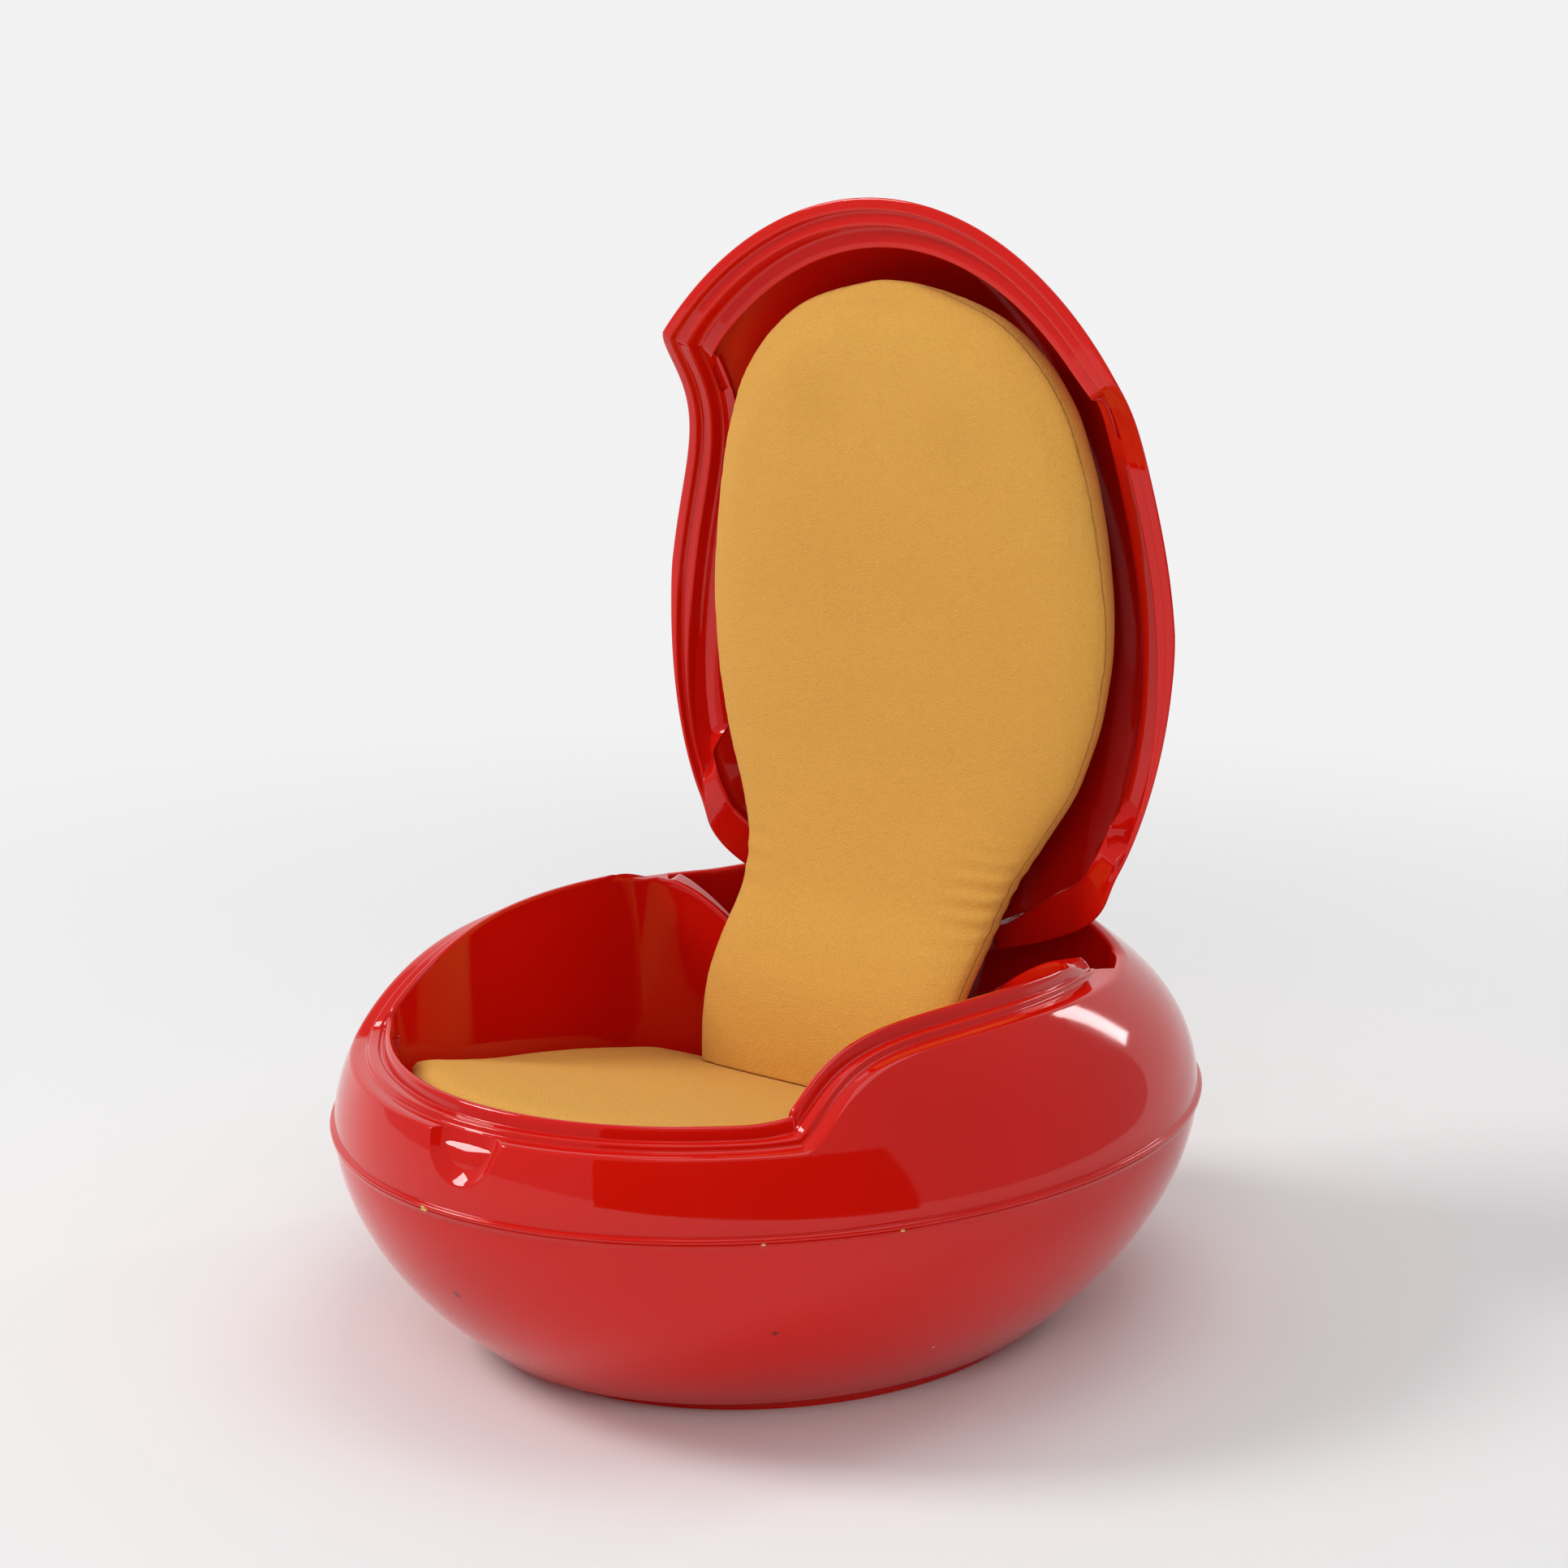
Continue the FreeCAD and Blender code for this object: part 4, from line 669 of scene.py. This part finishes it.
def subdivided(made):
    smooth = made.modifiers.new("Smooth", "SUBSURF")
    smooth.levels = smooth.render_levels = 1
    return made


def point_value(made, name, values):
    held = made.data.attributes.new(name, "FLOAT", "POINT")
    held.data.foreach_set("value", values.astype(np.float32))


def rest_on(points, under, low, clear):
    """Points below the height low that would sink into the piece under them are lifted to
    stand a little clear of it."""
    tree = BVHTree.FromObject(under, bpy.context.evaluated_depsgraph_get())
    out = points.copy()
    for i in np.where(points[:, 2] < low)[0]:
        x, y, z = points[i]
        top = tree.ray_cast(Vector((x, y, low + 0.05)), Vector((0, 0, -1)))[0]
        if top is not None:
            out[i, 2] = max(z, top.z + clear)
    return out


WAIST_Z, WAIST_HALF = 0.372, 0.150


def creases(points):
    """Ripples where the waist is creased by the lid's turning: sines up the height under bell
    curves, stronger on the right than on the left."""
    x, height = points[:, 0], points[:, 2]
    right = np.exp(-((height - WAIST_Z) / 0.040) ** 2) * ease((x / WAIST_HALF - 0.45) / 0.5)
    left = np.exp(-((height - WAIST_Z) / 0.030) ** 2) * ease((-x / WAIST_HALF - 0.55) / 0.4)
    ripple = 0.0016 * right * np.sin(height * 2 * math.pi / 0.017 + 9.0 * x)
    return ripple + 0.0008 * left * np.sin(height * 2 * math.pi / 0.021)


def back_held(points):
    """Points held by the lid behind them, or low down by the tub."""
    return (points[:, 1] > 0.262) | (points[:, 2] < 0.205)


def seat_held(points):
    """Points that lie on the tub's floor."""
    return points[:, 2] < tub_floor(points[:, 1]) + 0.014


def back_cushion(seat):
    """One cushion from the lid's crown down behind the seat, with a gusset seam round it that
    its material draws as a bump with painted shade.
    """
    rows, line = back_form()
    form = loft("back_pad", rows, rows[0].mean(0), rows[-1].mean(0), flip=True)
    pad, points = stuffed(form, 0.005, 1.6, 0.0020, back_held)
    points = rest_on(points, seat, low=0.235, clear=0.0008)
    # nearest station of each point, and its depth behind the front edge there
    station = np.zeros(len(points), int)
    depth = np.zeros(len(points))
    best = np.full(len(points), 1e9)
    for k, ((y, z), (ty, tz)) in enumerate(zip(line[:, :2], directions(line))):
        dy, dz = points[:, 1] - y, points[:, 2] - z
        away = np.abs(dy * ty + dz * tz) + 0.15 * np.hypot(dy, dz)
        nearer = away < best
        best = np.where(nearer, away, best)
        station = np.where(nearer, k, station)
        depth = np.where(nearer, dy * -tz + dz * ty, depth)
    side = np.abs(points[:, 0]) / line[station, 2]
    ripple = creases(points)
    points = points + np.stack([np.zeros(len(points)), -ripple, 0.3 * ripple], -1)
    set_points(pad, points)
    point_value(pad, "seam_off", depth - 0.010)
    point_value(pad, "side_share", side)
    return subdivided(pad)


def seat_cushion():
    """One crowned pad that fills the tub."""
    rows, low, high = seat_form()
    form = loft("seat_pad", rows, low, high)
    pad, points = stuffed(form, 0.0055, 1.4, 0.0012, seat_held)
    return subdivided(set_points(pad, points))


# Shader maths

class Socket:
    """A shader value that can be added, multiplied and subtracted like a number."""

    def __init__(self, graph, socket):
        self.graph, self.socket = graph, socket

    def _maths(self, operation, *values):
        return self.graph.node("ShaderNodeMath", {"operation": operation}, values)

    def __add__(self, other):
        return self._maths("ADD", self, other)

    def __mul__(self, other):
        return self._maths("MULTIPLY", self, other)

    def __sub__(self, other):
        return self._maths("SUBTRACT", self, other)

    def __rsub__(self, other):
        return self._maths("SUBTRACT", other, self)

    def __abs__(self):
        return self._maths("ABSOLUTE", self)

    def least(self, other):
        return self._maths("MINIMUM", self, other)

    __radd__, __rmul__ = __add__, __mul__


class Graph:
    """A node tree, emptied, and the one way to add a node to it."""

    def __init__(self, tree):
        self.tree = tree
        self.tree.nodes.clear()

    def node(self, kind, settings=None, inputs=(), output=0):
        """A node with its settings, then its sockets' values or links, by name or in order."""
        made = self.tree.nodes.new(kind)
        for key, value in (settings or {}).items():
            setattr(made, key, value)
        for key, value in inputs.items() if isinstance(inputs, dict) else enumerate(inputs):
            if isinstance(value, Socket):
                self.tree.links.new(value.socket, made.inputs[key])
            else:
                made.inputs[key].default_value = value
        return Socket(self, made.outputs[output]) if made.outputs else made


class Finish(Graph):
    """A material's node tree, its Principled shader and the ways to add to it."""

    def __init__(self, name, **values):
        self.material = bpy.data.materials.new(name)
        self.material.use_nodes = True
        super().__init__(self.material.node_tree)
        self.shader = self.tree.nodes.new("ShaderNodeBsdfPrincipled")
        self.surface = self.tree.nodes.new("ShaderNodeOutputMaterial").inputs["Surface"]
        self.tree.links.new(self.shader.outputs[0], self.surface)
        for key, value in values.items():
            self.shader.inputs[key.replace("_", " ")].default_value = value

    def place(self, scale=(1, 1, 1), turn=(0, 0, 0)):
        """Object coordinates, scaled and turned."""
        where = self.node("ShaderNodeTexCoord", output="Object")
        return self.node("ShaderNodeMapping", {},
                         {"Vector": where, "Scale": scale, "Rotation": turn})

    def noise(self, scale, detail=2.0, vector=None, rough=0.5):
        return self.node("ShaderNodeTexNoise", {},
                         {"Vector": vector or self.place(), "Scale": scale,
                          "Detail": detail, "Roughness": rough})

    def step(self, value, low, high):
        """0 below low, 1 above high, smooth between."""
        return self.node("ShaderNodeMapRange", {"interpolation_type": "SMOOTHSTEP", "clamp": True},
                         {"Value": value, "From Min": low, "From Max": high,
                          "To Min": 0.0, "To Max": 1.0})

    def colour(self, mask, a, b):
        """Colour a where the mask is 0 and b where it is 1."""
        return self.node("ShaderNodeMix", {"data_type": "RGBA"}, {0: mask, 6: a, 7: b}, 2)

    def near(self, point, radius, soft):
        """1 at a point of the object, falling to 0 at a radius over the last soft share of it."""
        away = self.node("ShaderNodeVectorMath", {"operation": "DISTANCE"},
                         [self.place(), point], output="Value")
        return 1.0 - self.step(away, radius * (1 - soft), radius)

    def feed(self, **links):
        for key, value in links.items():
            self.tree.links.new(value.socket, self.shader.inputs[key.replace("_", " ")])

    def bump(self, height, strength, distance, normal=None):
        inputs = {"Height": height, "Strength": strength, "Distance": distance}
        if normal is not None:
            inputs["Normal"] = normal
        return self.node("ShaderNodeBump", {}, inputs)


RED = (0.660, 0.0066, 0.0020, 1)
DEEP_RED = (0.595, 0.0048, 0.0015, 1)
SPECK, BRUISED = (0.80, 0.26, 0.20, 1), (0.10, 0.012, 0.010, 1)
# chips down to the filler, three at the girth and one on the bowl: place, radius, how yellow
CHIPS = [((-0.0331, -0.4275, 0.2045), 0.0050, 1.0), ((0.2455, -0.3195, 0.2035), 0.0026, 0.3),
         ((0.3165, -0.2220, 0.2035), 0.0028, 0.5), ((0.2850, -0.1338, 0.0656), 0.0018, 0.0)]
# dark bruises on the bowl: place, radius
BRUISES = [((-0.0236, -0.3994, 0.1216), 0.0062), ((0.2317, -0.2864, 0.1128), 0.0044)]


def lacquer(name, chips=True):
    """Polished red lacquer: slow changes of tone, a slow wave, hairlines, dust and chips."""
    f = Finish(name, Base_Color=RED, Roughness=0.06, Specular_IOR_Level=0.5, IOR=1.43)
    drift = f.noise(3.5, 2.0)
    colour = f.colour(f.step(drift, 0.35, 0.65), DEEP_RED, RED)
    specks = f.step(f.noise(420.0, 1.0), 0.80, 0.84)
    streak = f.noise(1.0, 3.0, f.place((520, 26, 60), (0.4, 0.2, 0.7)), 0.6)
    streak_two = f.noise(1.0, 3.0, f.place((30, 60, 480), (0.2, 0.9, 0.3)), 0.6)
    patch = f.step(f.noise(7.0, 2.0), 0.54, 0.68)
    hair = (f.step(streak, 0.70, 0.74) + f.step(streak_two, 0.71, 0.75)).least(1.0) * patch
    rough = 0.045 + 0.05 * f.step(f.noise(11.0, 4.0), 0.35, 0.8) + 0.22 * hair + 0.20 * specks
    colour = f.colour(specks * 0.15, colour, SPECK)
    if chips:
        torn = f.noise(900.0, 2.0)
        for place, radius, yellow in CHIPS:
            mark = f.step(f.near(place, radius, 0.6) + torn * 0.5, 0.68, 0.74)
            tone = (0.75, 0.42 + 0.1 * yellow, 0.22 - 0.12 * yellow, 1)
            colour = f.colour(mark, colour, tone)
        for place, radius in BRUISES:
            mark = f.step(f.near(place, radius, 0.8) + torn * 0.5, 0.66, 0.80)
            colour = f.colour(mark * 0.75, colour, BRUISED)
    normal = f.bump(f.noise(9.0, 1.0), 0.30, 0.0008)
    normal = f.bump(f.noise(95.0, 2.0), 0.04, 0.0006, normal)
    normal = f.bump(hair, 0.08, 0.0002, normal)
    f.feed(Base_Color=colour, Roughness=rough, Normal=normal)
    return f.material


MUSTARD = (0.930, 0.495, 0.100, 1)
MUSTARD_DEEP = (0.810, 0.400, 0.068, 1)
# the soiled tone is real dirt; the seam's colour is painted shade for the seam's groove
SOILED, SEAM_PAINTED_SHADE = (0.60, 0.27, 0.045, 1), (0.30, 0.125, 0.020, 1)
# faint stains near the top of the back cushion: place, radius, strength
STAINS = [((-0.085, 0.178, 0.813), 0.060, 0.16), ((0.087, 0.178, 0.795), 0.070, 0.12)]


def crepe(name, seam):
    """Stretched wool crepe: pebbled threads, slow changes of tone, soiling, and, where the mesh
    carries one, a gusset seam drawn as a bump with painted shade along its groove."""
    f = Finish(name, Roughness=0.92, Sheen_Weight=0.12, Sheen_Roughness=0.45,
               Sheen_Tint=(1.0, 0.80, 0.48, 1), Specular_IOR_Level=0.25)
    pebble = f.noise(820.0, 2.0, None, 0.62)
    twist = f.noise(1.0, 1.0, f.place((620, 620, 1500)), 0.5)
    slow = f.noise(9.0, 3.0)
    thread = 0.62 * pebble + 0.38 * twist
    shade = f.step(thread, 0.36, 0.62)
    colour = f.colour(shade * 0.62 + slow * 0.30, MUSTARD_DEEP, MUSTARD)
    soil = f.step(f.noise(6.0, 3.0), 0.5, 0.8) * 0.06
    for place, radius, strength in STAINS:
        soil = soil + f.near(place, radius, 1.0) * strength
    colour = f.colour(soil.least(1.0), colour, SOILED)
    normal = f.bump(thread, 1.0, 0.0026)
    if seam:
        off = f.node("ShaderNodeAttribute", {"attribute_name": "seam_off"}, output="Fac")
        share = f.node("ShaderNodeAttribute", {"attribute_name": "side_share"}, output="Fac")
        line = (1.0 - f.step(abs(off), 0.0003, 0.0013)) * f.step(share, 0.6, 0.8)
        # painted shade darkens the crepe along the seam's groove
        colour = f.colour(line * 0.42, colour, SEAM_PAINTED_SHADE)
        normal = f.bump(1.0 - line, 0.7, 0.0012, normal)
    f.feed(Base_Color=colour, Normal=normal)
    return f.material


def metal(name, tone, rough, grain=900.0):
    """Turned or cast metal: fine grain lines, and duller where it was handled."""
    f = Finish(name, Base_Color=tone, Metallic=1.0, Roughness=rough)
    lines = f.noise(1.0, 2.0, f.place((grain, 40, 40)), 0.5)
    wear = f.noise(38.0, 4.0)
    dull = tuple(0.72 * c for c in tone[:3]) + (1,)
    f.feed(Roughness=rough + 0.22 * f.step(wear, 0.4, 0.7) + 0.10 * lines,
           Base_Color=f.colour(f.step(wear, 0.45, 0.75), tone, dull),
           Normal=f.bump(lines, 0.25, 0.0002))
    return f.material


def plain(name, tone, dark, rough, scale, depth):
    """Moulded or pressed stuff: two tones by a noise, and a shallow bump of the same noise."""
    f = Finish(name, Roughness=rough)
    grain = f.noise(scale, 4.0)
    f.feed(Base_Color=f.colour(f.step(grain, 0.35, 0.7), dark, tone),
           Roughness=rough + 0.12 * grain, Normal=f.bump(grain, 0.4, depth))
    return f.material


BOARD, BOARD_DARK = (0.36, 0.21, 0.10, 1), (0.24, 0.13, 0.06, 1)
NYLON, NYLON_DARK = (0.74, 0.72, 0.66, 1), (0.62, 0.60, 0.54, 1)
RUBBER, RUBBER_DARK = (0.030, 0.030, 0.032, 1), (0.018, 0.018, 0.020, 1)
FINISH = {
    "red_lacquer": lacquer("red_lacquer"),
    "foot_red": lacquer("foot_red", False),
    "board": plain("pressed_board", BOARD, BOARD_DARK, 0.7, 260.0, 0.0004),
    "hinge_alloy": metal("hinge_alloy", (0.60, 0.61, 0.63, 1), 0.38, 500.0),
    "steel": metal("steel", (0.66, 0.66, 0.68, 1), 0.26),
    "bush_nylon": plain("bush_nylon", NYLON, NYLON_DARK, 0.45, 120.0, 0.0002),
    "stop_rubber": plain("stop_rubber", RUBBER, RUBBER_DARK, 0.72, 300.0, 0.0003),
}
# the cushions share a slot; only the back's crepe has the gusset seam and its painted shade
CREPE = {"back_pad": crepe("mustard_crepe_back", True),
         "seat_pad": crepe("mustard_crepe_seat", False)}


# Pieces

def dress(piece, body, slot, *nodes):
    """A piece's material and slot, the nodes it replaces, and the body it rides on."""
    piece.data.materials.clear()
    piece.data.materials.append(FINISH[slot] if slot in FINISH else CREPE[piece.name])
    if nodes:
        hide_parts(*nodes)
    if body:
        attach(piece, body)
    return piece


dress(lower_shell(), "base", "red_lacquer", "lower_shell")
dress(upper_shell(), "base", "red_lacquer", "upper_shell")
dress(lid_shell(), "lid", "red_lacquer", "lid_shell")
seat = dress(seat_cushion(), "base", "mustard_cloth", "seat_cushion")
back = dress(back_cushion(seat), None, "mustard_cloth", "back_cushion", "lumbar_cushion")
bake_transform(back)

# slots of the nodes that stay, by the start of their names; screws, pins and nuts are steel
NODE_SLOTS = {"foot_ring": "foot_red", "back_board": "board", "base_bracket": "hinge_alloy",
              "lid_lug": "hinge_alloy", "hinge_bush": "bush_nylon", "stop_buffer": "stop_rubber"}


def finish_node(name, node):
    """A solid of the frame: its material, its triangles joined, and its edges broken."""
    slot = next((slot for start, slot in NODE_SLOTS.items() if name.startswith(start)), "steel")
    node.data.materials.clear()
    node.data.materials.append(FINISH[slot])
    weld = node.modifiers.new("Join", "WELD")
    weld.merge_threshold = 0.00001
    bevel = node.modifiers.new("Edges", "BEVEL")
    bevel.width = 0.0015 if name == "foot_ring" else 0.0005
    bevel.segments = 2
    bevel.limit_method, bevel.angle_limit = "ANGLE", math.radians(40)
    bevel.harden_normals = False


for name, node in NODES.items():
    if not node.hide_render:
        finish_node(name, node)


# Studio

PAPER = (0.892, 0.892, 0.892, 1)
FLOOR, FLOOR_DARK = (0.882, 0.878, 0.874, 1), (0.872, 0.868, 0.864, 1)
# the camera's turn to the right and its rise
VIEW_TURN, VIEW_RISE = math.radians(37.853), math.radians(14.071)


def sweep():
    """Floor that curves up into a wall: a line of floor, a quarter circle and an upright."""
    bend = np.linspace(0.0, math.pi / 2, 24)
    radius, far = 2.2, 3.4
    y = np.concatenate([[-7.0, -3.0, 0.0, 2.0], far + radius * np.sin(bend), [far + radius]])
    z = np.concatenate([[0, 0, 0, 0], radius * (1 - np.cos(bend)), [6.5]])
    x = np.linspace(-9.0, 9.0, 7)
    grid = np.stack(np.broadcast_arrays(x[None, :], y[:, None], z[:, None]), -1).reshape(-1, 3)
    c, s = math.cos(VIEW_TURN), math.sin(VIEW_TURN)
    turned = np.stack([grid[:, 0] * c - grid[:, 1] * s, grid[:, 0] * s + grid[:, 1] * c,
                       grid[:, 2]], -1)
    made = mesh_object("studio_sweep", turned, quads(len(y), len(x), False))
    f = Finish("studio_paper", Roughness=0.9, Specular_IOR_Level=0.1)
    f.feed(Base_Color=f.colour(f.step(f.noise(0.6, 1.0), 0.3, 0.7), FLOOR_DARK, FLOOR))
    # far from the chair the paper is plain white to the camera and in the gloss
    away = f.node("ShaderNodeVectorMath", {"operation": "LENGTH"}, [f.place()], output="Value")
    seen = (f.node("ShaderNodeLightPath", output="Is Camera Ray")
            + f.node("ShaderNodeLightPath", output="Is Glossy Ray")).least(1.0)
    white = f.node("ShaderNodeEmission", {}, {"Color": PAPER})
    paper = Socket(f, f.shader.outputs[0])
    mix = f.node("ShaderNodeMixShader", {}, [f.step(away, 1.1, 2.5) * seen, paper, white])
    f.tree.links.new(mix.socket, f.surface)
    made.data.materials.append(f.material)


def flag():
    """Black cloth round the camera's side of the room, an upright arc of a circle: it keeps
    the gloss facing the camera deep, and only the gloss sees it."""
    turn = VIEW_TURN - math.pi / 2 + np.radians(np.linspace(-27.0, 49.0, 30))
    arc, up = np.meshgrid(turn, [0.02, 1.9], indexing="ij")
    points = np.stack([3.0 * np.cos(arc), 3.0 * np.sin(arc), up], -1).reshape(-1, 3)
    i = np.arange(len(turn) - 1) * 2
    made = mesh_object("studio_flag", points, np.stack([i, i + 2, i + 3, i + 1], -1).tolist())
    f = Finish("studio_black", Base_Color=(0.004, 0.004, 0.004, 1), Roughness=1.0,
               Specular_IOR_Level=0.0)
    made.data.materials.append(f.material)
    made.visible_camera = made.visible_diffuse = made.visible_shadow = False


def lamp(name, place, aim, width, height, power):
    data = bpy.data.lights.new(name, "AREA")
    data.shape, data.size, data.size_y = "RECTANGLE", width, height
    data.energy = power
    made = bpy.data.objects.new(name, data)
    bpy.context.scene.collection.objects.link(made)
    made.location = place
    made.rotation_euler = (Vector(aim) - Vector(place)).to_track_quat("-Z", "Y").to_euler()
    return made


def air():
    """Light of the room: a pale sky all round, and the paper's white where the camera sees it."""
    world = bpy.data.worlds.new("studio_air")
    bpy.context.scene.world = world
    world.use_nodes = True
    g = Graph(world.node_tree)
    sky = g.node("ShaderNodeBackground", {}, {"Color": (0.97, 0.98, 1.0, 1), "Strength": 0.42})
    seen = g.node("ShaderNodeBackground", {}, {"Color": PAPER})
    camera_ray = g.node("ShaderNodeLightPath", output="Is Camera Ray")
    mix = g.node("ShaderNodeMixShader", {}, [camera_ray, sky, seen])
    g.node("ShaderNodeOutputWorld", {}, {"Surface": mix})


def studio():
    sweep()
    flag()
    lamp("key_light", (-4.2, -3.0, 4.6), (0, 0, 0.35), 2.1, 2.1, 210.0)
    lamp("top_light", (0.4, 0.4, 3.6), (0, 0, 0.4), 2.2, 2.2, 21.0)
    fill = lamp("fill_light", (2.6, -3.6, 3.0), (0, 0, 0.45), 2.4, 2.4, 50.0)
    fill.visible_glossy = False
    lamp("rear_strip", (1.05, 2.95, 1.72), (0.31, 0.06, 0.32), 0.26, 1.0, 9.0)
    air()


# the camera looks at a point on the egg's axis, shifted to the right; its focal length is
# measured in pixels of the photograph
AIM_Z, AIM_RIGHT, CAMERA_FAR = 0.49406, 0.014662, 3.7928
FOCAL_PIXELS, PHOTO_PIXELS, SENSOR_MM = 5199.6, 1932.0, 36.0


def camera():
    """Camera at the photograph's angle: 37.9 degrees round to the right, 14.1 degrees up."""
    a, e = VIEW_TURN, VIEW_RISE
    right = Vector((math.cos(a), math.sin(a), 0))
    ahead = Vector((-math.sin(a) * math.cos(e), math.cos(a) * math.cos(e), -math.sin(e)))
    up = right.cross(ahead)
    place = Vector((0, 0, AIM_Z)) + AIM_RIGHT * right - CAMERA_FAR * ahead
    data = bpy.data.cameras.new("photo_camera")
    data.sensor_width, data.lens = SENSOR_MM, SENSOR_MM * FOCAL_PIXELS / PHOTO_PIXELS
    data.clip_end = 60.0
    made = bpy.data.objects.new("photo_camera", data)
    bpy.context.scene.collection.objects.link(made)
    turn = Matrix((right, up, -ahead)).transposed().to_4x4()
    made.matrix_world = Matrix.Translation(place) @ turn
    bpy.context.scene.camera = made


studio()
camera()
bpy.context.scene.view_settings.view_transform = "Standard"
